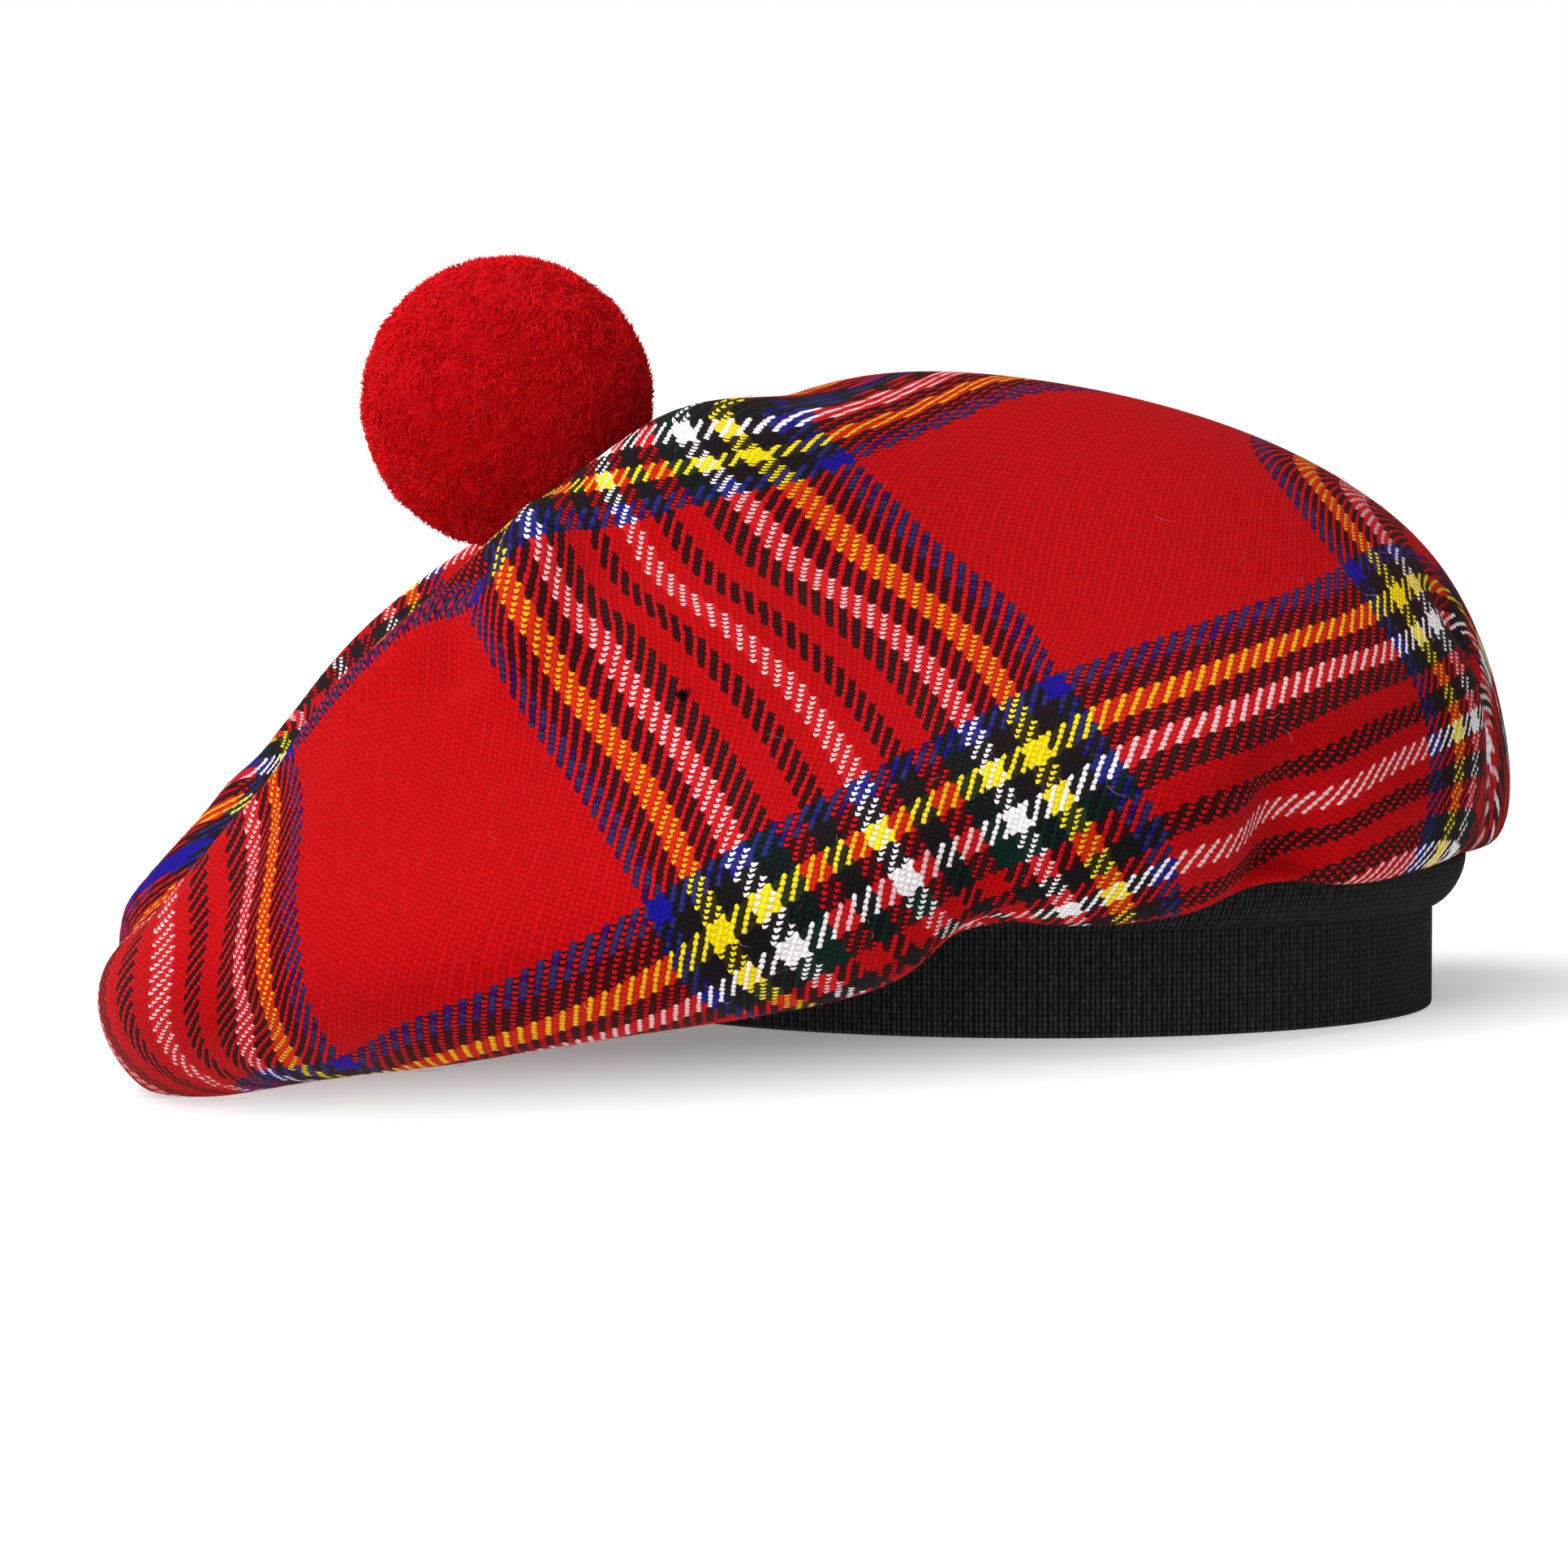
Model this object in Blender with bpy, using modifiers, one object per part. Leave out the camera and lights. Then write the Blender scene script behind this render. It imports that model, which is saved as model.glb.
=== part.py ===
"""Tam o' shanter: a round tartan cloth crown gathered onto a knitted headband, with a yarn pompom.

The hat is modelled upright round its headband (x to the wearer's side that faces right in the view,
y away from the viewer, z up from the band's lower edge), and is then laid down as it rests by
itself: the soft crown flops past the band on one side, so it stands on the crown's tip and on the
far end of the band's lower edge. Run it with: blender --background --python part.py
"""

import random
from math import cos, pi, radians, sin, tan

import bmesh
import bpy
import numpy as np
from mathutils import Matrix, Vector

MM = 0.001

# ---- driving dimensions ----
BAND_RADIUS = 80.0 * MM        # outside of the relaxed headband
BAND_HEIGHT = 30.0 * MM
BAND_WALL = 3.0 * MM           # two layers of rib knit
BAND_FLARE = 6.5 * MM          # how far the sewn upper edge is stretched out
CLOTH_WALL = 2.0 * MM          # brushed wool-like twill
POMPOM_RADIUS = 29.2 * MM
SEAT_GAP = 0.3 * MM            # left between touching pieces
REST_TILT = radians(3.85)      # turn about y that brings tip and band edge onto one level

# ---- the crown's sections (this table and the next ones are in millimetres and degrees) ----
# Each row is one direction seen from above (0 = right, -90 = viewer's side), with how far out from
# its key's own centre and how high the cloth lies at its shoulder, face, brow, rim and hem.
SECTION_COLUMNS = ("direction",
                   "shoulder_out", "shoulder_z", "face_out", "face_z", "brow_out", "brow_z",
                   "rim_out", "rim_z", "hem_out", "hem_z")
SECTIONS = (
    (0,    40, 115.5,  73, 122.3,  126,  97,  136,  60,  128,  31),
    (30,   40, 112.0,  76, 111.0,  117,  84,  136,  48,  127,  30),
    (60,   40, 108.0,  77, 101.0,  112,  73,  137,  36,  122,  24),
    (90,   40,  97.0,  76,  91.0,  115,  63,  138,  24,  121,  11),
    (120,  40,  84.0,  78,  79.0,  113,  51,  138,  12,  120,   0),
    (150,  40,  75.0,  78,  60.0,  112,  34,  138,   1,  123, -13),
    (180,  40,  71.5,  76,  50.0,  112,  30,  138,  -2,  132, -18),
    (-150, 40,  76.0,  78,  60.0,  112,  36,  138,   3,  122, -11),
    (-120, 40,  86.0,  76,  80.0,  113,  43,  138,  11,  121,  -1),
    (-90,  40, 100.0,  76,  83.0,  115,  49,  137,  24,  121,  11),
    (-60,  40, 114.0,  77,  90.0,  112,  63,  132,  40,  118,  25),
    (-30,  40, 116.0,  75, 107.0,  117,  83,  136,  51,  127,  30),
)
# The keys in order from the pompom's tie to the band's seam, and where each one's ring is centred.
KEYS = (
    # key, centre x, centre y
    ("tie",      -102,  4),
    ("collar",   -101,  4),
    ("shoulder",  -92,  2),
    ("face",      -72,  1),
    ("brow",      -56,  0),
    ("rim",       -44,  0),
    ("hem",       -40,  0),
    ("tuck",        0,  0),
    ("seam",        0,  0),
)
TIE_HEIGHT = 88.4
COLLAR_OUT = 13.0
COLLAR_RISE_RIGHT = 1.0        # the collar tips with the slope that the pompom is tied to
COLLAR_FALL_LEFT = 3.5
TUCK_SHARE = 0.25              # how far from seam to hem the tuck lies
TUCK_HEIGHT = 31.0
SEAM_OUT = 84.4
SEAM_HEIGHT = 30.4
SEWN_SHARE = 0.09              # the cloth's last stretch, held by the seam
GATHERS = 12                   # soft pleats where the wide cloth is drawn in to the band
GATHER_DEPTH = 1.8
GATHER_START = 0.68            # share of the cloth's length at which they begin to show
GATHER_DRIFTS = (              # what keeps the gathers from being evenly spaced
    # waves round the hat, size in radians
    (2, 1.1),
    (5, 0.8),
)

# Folds and dents: each row pushes the cloth out (+) or in (-) along a line between two points.
FOLDS = (
    # name, first point x y z, second point x y z, reach, push
    ("valley_by_bulge",  -107, -50,  88,  -105, -76,  66,   7, -5.5),
    ("bulge_lip",         -95, -54,  98,   -95, -80,  72,   8,  5.0),
    ("front_dent",        -76, -70,  88,   -42, -68,  86,  10, -2.5),
    ("left_crease",      -148, -66,  42,  -146, -96,  -8,   8, -2.5),
    ("ridge_groove",     -126, -48,  76,  -174, -14,  20,   9, -2.5),
    ("near_ridge",       -120, -72,  76,  -166, -40,  26,   9,  2.5),
    ("side_groove",        84, -34,  80,    84, -30,  34,   7, -3.5),
    ("front_notch",       -12, -112,  16,   -14, -122, 34,  11, -6.0),
    ("side_notch",         45, -88,  26,    46, -98, 44,  11, -8.0),
    ("back_groove_right",  50,  90,  30,    50,  88,  60,   9, -4.0),
    ("back_groove_left",  -60, 128,   8,   -62, 120,  50,  10, -4.0),
    ("back_dent",         -20, 100,  66,   -70, 104,  60,  12, -3.0),
)

REST_EASE = 1.0                # how softly the cloth bends where it meets the ground

# ---- the headband's section ----
BAND_CORNER = 0.9 * MM         # chamfer of its folded lower edge
FLARE_START = 0.66             # share of its height at which it begins to spread to the seam
FLARE_POWER = 0.8              # below 1 the flare's lower part is steeper
FLARE_STEPS = 4

# ---- mesh steps and the pompom's tufts ----
CLOTH_STEPS_AROUND = 72
CLOTH_STEPS_ALONG = 24
BAND_STEPS = 72
TUFT_LEVEL = 3                 # subdivisions of the ball that the pompom's tufts stand on
TUFT_HEIGHT = 2.4 * MM
TUFT_SHORTEST = 0.55           # share of that height
TUFT_INSET = 0.55 * MM
TUFT_SEED = 7

CLOTH_RED = (0.52, 0.012, 0.016, 1.0)
YARN_RED = (0.42, 0.006, 0.010, 1.0)
KNIT_BLACK = (0.012, 0.012, 0.014, 1.0)


def clear_scene():
    """Start from an empty scene."""
    for item in list(bpy.data.objects):
        bpy.data.objects.remove(item, do_unlink=True)


def finish_material(name, colour, roughness):
    """One plain Principled material."""
    material = bpy.data.materials.new(name)
    material.use_nodes = True
    shader = material.node_tree.nodes["Principled BSDF"]
    shader.inputs["Base Color"].default_value = colour
    shader.inputs["Roughness"].default_value = roughness
    shader.inputs["Metallic"].default_value = 0.0
    return material


def add_object(name, mesh_source, collection, material):
    """Turn a bmesh into a named, smooth-shaded object."""
    mesh = bpy.data.meshes.new(name)
    mesh_source.to_mesh(mesh)
    mesh_source.free()
    mesh.materials.append(material)
    mesh.shade_smooth()
    item = bpy.data.objects.new(name, mesh)
    collection.objects.link(item)
    return item


def spline_weights(knots, places, period=None):
    """Weights of a smooth curve through values at knots, read at places (rows add up to 1).

    It is a cubic spline: each knot's slope is solved so that the bend is continuous.
    """
    knots = np.asarray(knots, float)
    count = len(knots)
    slopes_from = np.zeros((count, count))
    right_side = np.zeros((count, count))
    for i in range(count):
        if period is None and i in (0, count - 1):
            j = 1 if i == 0 else count - 2
            step = knots[j] - knots[i]
            slopes_from[i, i], slopes_from[i, j] = 2.0, 1.0
            right_side[i, j], right_side[i, i] = 3.0 / step, -3.0 / step
            continue
        before, after = (i - 1) % count, (i + 1) % count
        gap_before = (knots[i] - knots[before]) % period if period else knots[i] - knots[before]
        gap_after = (knots[after] - knots[i]) % period if period else knots[after] - knots[i]
        slopes_from[i, before] += 1.0 / gap_before
        slopes_from[i, i] += 2.0 / gap_before + 2.0 / gap_after
        slopes_from[i, after] += 1.0 / gap_after
        right_side[i, before] -= 3.0 / gap_before ** 2
        right_side[i, i] += 3.0 / gap_before ** 2 - 3.0 / gap_after ** 2
        right_side[i, after] += 3.0 / gap_after ** 2
    slopes = np.linalg.solve(slopes_from, right_side)
    weights = np.zeros((len(places), count))
    for row, place in enumerate(places):
        if period:
            place = (place - knots[0]) % period + knots[0]
        i = int(np.clip(np.searchsorted(knots, place, "right") - 1, 0, count - (1 if period else 2)))
        j = (i + 1) % count
        gap = (knots[j] - knots[i]) % period if period else knots[j] - knots[i]
        u = (place - knots[i]) / gap
        weights[row, i] += 2 * u ** 3 - 3 * u ** 2 + 1
        weights[row, j] += 3 * u ** 2 - 2 * u ** 3
        weights[row] += slopes[i] * gap * (u ** 3 - 2 * u ** 2 + u)
        weights[row] += slopes[j] * gap * (u ** 3 - u ** 2)
    return weights


def key_points():
    """The crown's keys as points in millimetres: keys x directions x 3, and the directions."""
    table = np.array(sorted(SECTIONS, key=lambda row: row[0] % 360), float)
    column = {name: table[:, k] for k, name in enumerate(SECTION_COLUMNS)}
    directions = column["direction"] % 360
    turn = np.radians(directions)
    facing_right = np.cos(turn)
    collar_z = TIE_HEIGHT + np.where(facing_right > 0, COLLAR_RISE_RIGHT, COLLAR_FALL_LEFT) * facing_right
    sizes = {"tie": (0, TIE_HEIGHT), "collar": (COLLAR_OUT, collar_z), "tuck": (0, TUCK_HEIGHT),
             "seam": (SEAM_OUT, SEAM_HEIGHT)}
    rings = {}
    for key, centre_x, centre_y in KEYS:
        out, height = sizes.get(key) or (column[key + "_out"], column[key + "_z"])
        rings[key] = np.stack([centre_x + out * np.cos(turn), centre_y + out * np.sin(turn),
                               height + 0 * turn], axis=-1)
    level = rings["tuck"][:, 2].copy()
    rings["tuck"] = rings["seam"] * (1 - TUCK_SHARE) + rings["hem"] * TUCK_SHARE
    rings["tuck"][:, 2] = level
    return np.array([rings[key[0]] for key in KEYS]), directions


def plain_crown(angles, shares):
    """The crown's outer face without its folds: points in metres, shares x angles x 3.

    A share is how far along its own length the cloth has come, from the pompom's tie to the seam.
    """
    keys, directions = key_points()
    lines = np.zeros((len(shares), len(directions), 3))
    for k in range(len(directions)):
        lengths = np.linalg.norm(np.diff(keys[:, k], axis=0), axis=1)
        knots = np.concatenate([[0], np.cumsum(lengths)]) / lengths.sum()
        lines[:, k] = spline_weights(knots, shares) @ keys[:, k]
    around = spline_weights(directions, angles, period=360)
    return np.einsum("sdc,ad->sac", lines, around) * MM


def outward(points):
    """Outward directions of a grid of points that closes on itself round its second axis."""
    along = np.gradient(points, axis=0)
    around = (np.roll(points, -1, axis=1) - np.roll(points, 1, axis=1)) / 2
    normal = np.cross(around, along)
    normal[0] = (0, 0, -1)
    length = np.linalg.norm(normal, axis=-1, keepdims=True)
    return -normal / np.maximum(length, 1e-12)


def fold(points):
    """How far the table of folds pushes each point of the cloth in or out."""
    moved = np.zeros(points.shape[:2])
    for _, x0, y0, z0, x1, y1, z1, reach, push in FOLDS:
        start, end = np.array((x0, y0, z0)) * MM, np.array((x1, y1, z1)) * MM
        run = end - start
        part = np.clip((points - start) @ run / (run @ run), 0, 1)
        distance = np.linalg.norm(points - (start + part[..., None] * run), axis=-1)
        moved += push * MM * np.exp(-(distance / (reach * MM)) ** 2)
    return moved


def gather(angles, shares):
    """How far the gathers push each point: uneven waves round the hat that deepen to the band."""
    turn = np.radians(angles)
    drift = sum(size * np.sin(count * turn) for count, size in GATHER_DRIFTS)
    waves = np.cos(GATHERS * turn + drift)
    depth = np.clip((shares - GATHER_START) / (1 - GATHER_START), 0, 1) * GATHER_DEPTH * MM
    return depth[:, None] * waves[None, :]


def rest_level(x):
    """Height of the surface that the hat rests on, in the upright hat's own frame."""
    return (x - BAND_RADIUS) * tan(REST_TILT)


def flatten_where_it_rests(points):
    """Ease the cloth that would go below the resting surface flat onto it."""
    ease = REST_EASE * MM
    clear = points[..., 2] - rest_level(points[..., 0])
    points[..., 2] += (clear + np.sqrt(clear ** 2 + ease ** 2)) / 2 - clear
    return points


def crown_points(steps_around, steps_along):
    """The crown's outer face as a grid of points."""
    angles = np.arange(steps_around) * 360 / steps_around
    shares = np.linspace(0, 1, steps_along + 1)
    points = plain_crown(angles, shares)
    free = np.clip((1 - shares) / SEWN_SHARE - 0.5, 0, 1)[:, None]
    moved = (fold(points) + gather(angles, shares)) * free
    return flatten_where_it_rests(points + outward(points) * moved[..., None])


def make_crown(collection):
    """One circle of cloth: a grid wrapped round the pompom's tie, then given its thickness."""
    points = crown_points(CLOTH_STEPS_AROUND, CLOTH_STEPS_ALONG)
    shape = bmesh.new()
    bmesh.ops.create_grid(shape, x_segments=CLOTH_STEPS_AROUND, y_segments=CLOTH_STEPS_ALONG, size=1)
    for vertex in shape.verts:
        around = round((1 - vertex.co.x) / 2 * CLOTH_STEPS_AROUND) % CLOTH_STEPS_AROUND
        along = round((vertex.co.y + 1) / 2 * CLOTH_STEPS_ALONG)
        vertex.co = points[along, around]
    bmesh.ops.remove_doubles(shape, verts=shape.verts, dist=0.01 * MM)
    crown = add_object("crown", shape, collection, finish_material("tartan_cloth", CLOTH_RED, 0.85))
    wall = crown.modifiers.new("cloth_wall", "SOLIDIFY")
    wall.thickness = CLOTH_WALL
    wall.offset = -1
    return crown


def band_profile():
    """The band's cross-section as radius and height, down the outside and up the inside."""
    straight_top = BAND_HEIGHT * FLARE_START
    turns = [k * pi / 2 / FLARE_STEPS for k in range(FLARE_STEPS + 1)]
    outside = [(BAND_RADIUS + BAND_FLARE * cos(turn),
                straight_top + (BAND_HEIGHT - straight_top) * (1 - sin(turn)) ** FLARE_POWER)
               for turn in turns]
    inside = [(radius - BAND_WALL, height) for radius, height in reversed(outside)]
    inner_radius = BAND_RADIUS - BAND_WALL
    bottom = [(BAND_RADIUS, BAND_CORNER), (BAND_RADIUS - BAND_CORNER, 0),
              (inner_radius + BAND_CORNER, 0), (inner_radius, BAND_CORNER)]
    return outside + bottom + inside


def make_headband(collection):
    """A knitted tube: its section turned once round the head."""
    shape = bmesh.new()
    ring = [shape.verts.new((radius, 0, height)) for radius, height in band_profile()]
    for first, second in zip(ring, ring[1:] + ring[:1]):
        shape.edges.new((first, second))
    band = add_object("headband", shape, collection, finish_material("black_knit", KNIT_BLACK, 0.9))
    turn = band.modifiers.new("turn", "SCREW")
    turn.steps = turn.render_steps = BAND_STEPS
    turn.use_merge_vertices = True
    turn.merge_threshold = 0.01 * MM
    return band


def make_pompom(collection):
    """Cut yarn tied into a ball: every face of a ball is drawn out into a tuft of its own length."""
    random.seed(TUFT_SEED)
    shape = bmesh.new()
    bmesh.ops.create_icosphere(shape, subdivisions=TUFT_LEVEL, radius=POMPOM_RADIUS - TUFT_HEIGHT)
    for face in list(shape.faces):
        height = TUFT_HEIGHT * random.uniform(TUFT_SHORTEST, 1.0)
        bmesh.ops.inset_individual(shape, faces=[face], thickness=TUFT_INSET, depth=height)
    lowest = min(vertex.co.z for vertex in shape.verts)
    tie = Vector((KEYS[0][1] * MM, KEYS[0][2] * MM, TIE_HEIGHT * MM + SEAT_GAP - lowest))
    pompom = add_object("pompom", shape, collection, finish_material("red_yarn", YARN_RED, 0.95))
    pompom.location = tie
    return pompom


def lay_down(pieces, collection):
    """Hang the pieces on an empty that turns the hat to rest and centres it over the origin."""
    rest = bpy.data.objects.new("resting_hat", None)
    collection.objects.link(rest)
    for piece in pieces:
        piece.parent = rest
    turn = Matrix.Rotation(REST_TILT, 4, "Y")
    bpy.context.view_layer.update()
    depsgraph = bpy.context.evaluated_depsgraph_get()
    corners = []
    for piece in pieces:
        whole = piece.evaluated_get(depsgraph)
        corners += [turn @ whole.matrix_world @ vertex.co for vertex in whole.data.vertices]
    low = Vector(min(corner[k] for corner in corners) for k in range(3))
    high = Vector(max(corner[k] for corner in corners) for k in range(3))
    shift = Matrix.Translation((-(low.x + high.x) / 2, -(low.y + high.y) / 2, -low.z))
    rest.matrix_world = shift @ turn
    return rest


def main():
    clear_scene()
    collection = bpy.data.collections.new("tam_o_shanter")
    bpy.context.scene.collection.children.link(collection)
    pieces = [make_crown(collection), make_headband(collection), make_pompom(collection)]
    lay_down(pieces, collection)


main()
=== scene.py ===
# %% [markdown]
# # A tam o' shanter, dressed
# The hat has three parts: a wide soft crown of tartan twill, a black knitted headband, and a pompom
# of cut red yarn. Their plain solids are already made and fixed in place. This lesson gives each one
# the surface of the real thing: cloth whose check follows its folds, ribs of knitting, and a ball
# made of many thousand yarn ends.

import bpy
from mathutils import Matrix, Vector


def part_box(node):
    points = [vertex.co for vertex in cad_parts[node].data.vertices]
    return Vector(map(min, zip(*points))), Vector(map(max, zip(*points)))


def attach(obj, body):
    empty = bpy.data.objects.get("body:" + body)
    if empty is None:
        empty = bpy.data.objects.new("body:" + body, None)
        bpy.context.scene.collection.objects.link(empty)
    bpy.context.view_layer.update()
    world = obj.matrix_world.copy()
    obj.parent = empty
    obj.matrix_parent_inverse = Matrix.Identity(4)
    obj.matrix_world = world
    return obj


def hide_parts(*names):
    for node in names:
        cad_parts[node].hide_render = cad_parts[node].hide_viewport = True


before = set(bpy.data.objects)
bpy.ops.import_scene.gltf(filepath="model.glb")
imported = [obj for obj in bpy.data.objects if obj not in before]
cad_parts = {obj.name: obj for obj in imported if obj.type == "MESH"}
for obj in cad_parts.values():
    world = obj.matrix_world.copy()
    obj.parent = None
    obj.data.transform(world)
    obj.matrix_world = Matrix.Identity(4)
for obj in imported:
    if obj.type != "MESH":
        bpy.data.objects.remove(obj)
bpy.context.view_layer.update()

# %% Tools and units
from math import atan2, cos, pi, radians, sin, tan

import bmesh
import bpy
import numpy as np
from mathutils import Matrix, Vector
from mathutils.bvhtree import BVHTree
from mathutils.interpolate import poly_3d_calc

MM = 0.001
scene = bpy.context.scene


def add_object(name, data):
    """Put a mesh, a camera or a light into the scene as an object."""
    item = bpy.data.objects.new(name, data)
    scene.collection.objects.link(item)
    return item

# %% [markdown]
# ## How the hat lies
# A hat like this is easiest to model upright, round its headband: x to the right, y away from the
# viewer, z up from the band's lower edge. By itself it lies a little tipped, on the band's edge and
# on the tip of the crown that flops past it. So every piece is modelled upright, and the last thing
# that happens to its mesh is one turn and one shift, which are read off the headband's solid.

# %% The resting turn
BAND_RADIUS = 80 * MM
BAND_HEIGHT = 30 * MM
BAND_FLARE = 6.5 * MM
REST_TILT = radians(3.85)

band_low, band_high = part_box("headband")
tip_over = Matrix.Rotation(REST_TILT, 4, "Y")
upper_edge = tip_over @ Vector((0, 0, BAND_HEIGHT))
edge_lift = (BAND_RADIUS + BAND_FLARE) * sin(REST_TILT)
REST = Matrix.Translation((
    (band_low.x + band_high.x) / 2 - upper_edge.x,
    (band_low.y + band_high.y) / 2,
    band_high.z - upper_edge.z - edge_lift)) @ tip_over
print("resting shift in mm:", [round(part / MM, 2) for part in REST.translation])

# %% [markdown]
# ## Camera
# The photograph looks almost level at the hat's side, from 3 degrees above it. A long lens at about
# a metre gives its flat, calm perspective. The camera is placed upright with the hat and takes the
# same resting turn, so the picture keeps the photograph's own level.

# %% Camera
CAMERA_DISTANCE = 1100 * MM
CAMERA_RISE = radians(3)
VIEW_CENTRE = Vector((-47.4, 0, 42.6)) * MM    # the point at the middle of the picture
VIEW_WIDTH = 309.12 * MM                       # width of the picture at that point
SENSOR = 36.0
PICTURE_SIDE = 1932                            # the photograph's width and height in pixels

backward = Vector((0, -cos(CAMERA_RISE), sin(CAMERA_RISE)))
eye = VIEW_CENTRE + backward * CAMERA_DISTANCE
facing = (-backward).to_track_quat("-Z", "Y").to_matrix()
camera = add_object("camera", bpy.data.cameras.new("camera"))
camera.data.sensor_width = SENSOR
camera.data.lens = SENSOR * CAMERA_DISTANCE / VIEW_WIDTH
camera.matrix_world = REST @ Matrix.Translation(eye) @ facing.to_4x4()
scene.camera = camera
print("lens in mm:", round(camera.data.lens, 1))


def sight(pixel_x, pixel_y):
    """The direction from the eye through one pixel of the photograph, for the upright hat."""
    reach = VIEW_WIDTH / PICTURE_SIDE
    across = (pixel_x - PICTURE_SIDE / 2) * reach
    down = (pixel_y - PICTURE_SIDE / 2) * reach
    return (facing @ Vector((across, -down, -CAMERA_DISTANCE))).normalized()


# %% [markdown]
# ## Node helpers
# Materials are trees of small steps, and reading them should be like reading a sum. One helper places
# a node and wires its inputs. The others are a pocket calculator: they find their tree by the wires
# that they are given, and hand back a new wire.

# %% Placing a node and doing sums
def place(tree, kind, inputs=None, **settings):
    """Place a shader node, set it up, and give each named input a value or a wire."""
    made = tree.nodes.new("ShaderNode" + kind)
    for name, value in settings.items():
        setattr(made, name, value)
    for name, value in (inputs or {}).items():
        if isinstance(value, bpy.types.NodeSocket):
            tree.links.new(value, made.inputs[name])
        else:
            made.inputs[name].default_value = value
    return made


def tree_of(values):
    """The node tree that the wires among some values belong to."""
    return next(value.id_data for value in values if isinstance(value, bpy.types.NodeSocket))


def calc(operation, *values, clamp=False):
    """One step of arithmetic."""
    return place(tree_of(values), "Math", dict(enumerate(values)),
                 operation=operation, use_clamp=clamp).outputs[0]


def times(first, *others):
    """A product of two or more numbers."""
    for other in others:
        first = calc("MULTIPLY", first, other)
    return first


def scaled(factor, value, offset):
    """A number times a factor, plus an offset."""
    return calc("MULTIPLY_ADD", value, factor, offset)


def move(operation, *values):
    """One step of vector arithmetic."""
    made = place(tree_of(values), "VectorMath", dict(enumerate(values)), operation=operation)
    return made.outputs["Value" if operation in ("LENGTH", "DOT_PRODUCT") else 0]


def vector(x, y, z=0.0):
    """Three numbers as one vector."""
    return place(tree_of((x, y, z)), "CombineXYZ", {"X": x, "Y": y, "Z": z}).outputs[0]


def remap(value, low, high, to_low=0.0, to_high=1.0, kind="LINEAR"):
    """Stretch the numbers between low and high to another range, and hold them there."""
    ends = {"Value": value, "From Min": low, "From Max": high, "To Min": to_low, "To Max": to_high}
    return place(tree_of([value]), "MapRange", ends, interpolation_type=kind).outputs[0]


MIX_SOCKETS = {"FLOAT": (2, 3, 0), "VECTOR": (4, 5, 1), "RGBA": (6, 7, 2)}   # first, second, result


def blend(share, first, second, kind="RGBA", blend_type="MIX"):
    """Mix two colours, numbers or vectors."""
    from_socket, to_socket, result = MIX_SOCKETS[kind]
    parts = {0: share, from_socket: first, to_socket: second}
    return place(tree_of(parts.values()), "Mix", parts, data_type=kind, blend_type=blend_type).outputs[result]


# %% Groups, marks and colours
def group(name, inputs, outputs):
    """Start a node group with named sockets; gives the group, its inputs' wires and its output node."""
    made = bpy.data.node_groups.new(name, "ShaderNodeTree")
    for side, sockets in (("INPUT", inputs), ("OUTPUT", outputs)):
        for socket, kind in sockets:
            made.interface.new_socket(socket, in_out=side, socket_type="NodeSocket" + kind)
    return made, made.nodes.new("NodeGroupInput").outputs, made.nodes.new("NodeGroupOutput")


def use(tree, made, inputs):
    """Place a node group in a material; gives its outputs."""
    return place(tree, "Group", inputs, node_tree=made).outputs


def point_mark(tree, name):
    """A number that the mesh carries on its points."""
    return place(tree, "Attribute", attribute_name=name).outputs["Fac"]


def paint(red, green, blue):
    """A colour given as it looks on a screen, from 0 to 255, as the shader's linear colour."""
    parts = np.array((red, green, blue)) / 255
    linear = np.where(parts <= 0.04045, parts / 12.92, ((parts + 0.055) / 1.055) ** 2.4)
    return (*(float(part) for part in linear), 1.0)


# %% Finishes and pieces
def finish(name, roughness, specular, sheen, sheen_roughness, sheen_tint):
    """A new material with a dull textile shader; gives the material, its tree and the shader."""
    material = bpy.data.materials.new(name)
    material.use_nodes = True
    shader = material.node_tree.nodes["Principled BSDF"]
    for socket, value in (("Roughness", roughness), ("Specular IOR Level", specular), ("Sheen Weight", sheen),
                          ("Sheen Roughness", sheen_roughness), ("Sheen Tint", sheen_tint)):
        shader.inputs[socket].default_value = value
    return material, material.node_tree, shader


def cover(shader, colour, shade=None, height=None, strength=0.0, relief=0.0):
    """Wire a colour, darkened by a factor of random tone and painted shade, and a bump of a given relief into
    the shader.
    """
    tree = shader.id_data
    if shade is not None:
        colour = place(tree, "VectorMath", {0: colour, "Scale": shade}, operation="SCALE").outputs[0]
    tree.links.new(colour, shader.inputs["Base Color"])
    if height is not None:
        bump = place(tree, "Bump", {"Height": height, "Strength": strength, "Distance": relief})
        tree.links.new(bump.outputs["Normal"], shader.inputs["Normal"])


def add_mesh(name, shape, material):
    """Turn a bmesh into a mesh, or take one that is made, with its material and smooth shading."""
    mesh = shape
    if isinstance(shape, bmesh.types.BMesh):
        mesh = bpy.data.meshes.new(name)
        shape.to_mesh(mesh)
        shape.free()
    mesh.materials.append(material)
    mesh.shade_smooth()
    return mesh


def add_piece(name, shape, material, stands_for):
    """Make a finished piece of an upright shape: laid down as the hat lies, and riding on the hat."""
    mesh = add_mesh(name, shape, material)
    mesh.transform(REST)
    piece = add_object(name, mesh)
    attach(piece, "root")
    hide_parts(stands_for)
    return piece

# %% [markdown]
# ## The crown's form
# The real crown is a big round of cloth, tied under the pompom, gathered in to the headband, and left
# to flop. Sculpting it by hand would lose touch with the solid, so its form comes from the same short
# tables: twelve directions round the hat, and along each one the heights that the cloth passes
# through. A smooth curve runs through the heights and another one round the directions.

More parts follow.
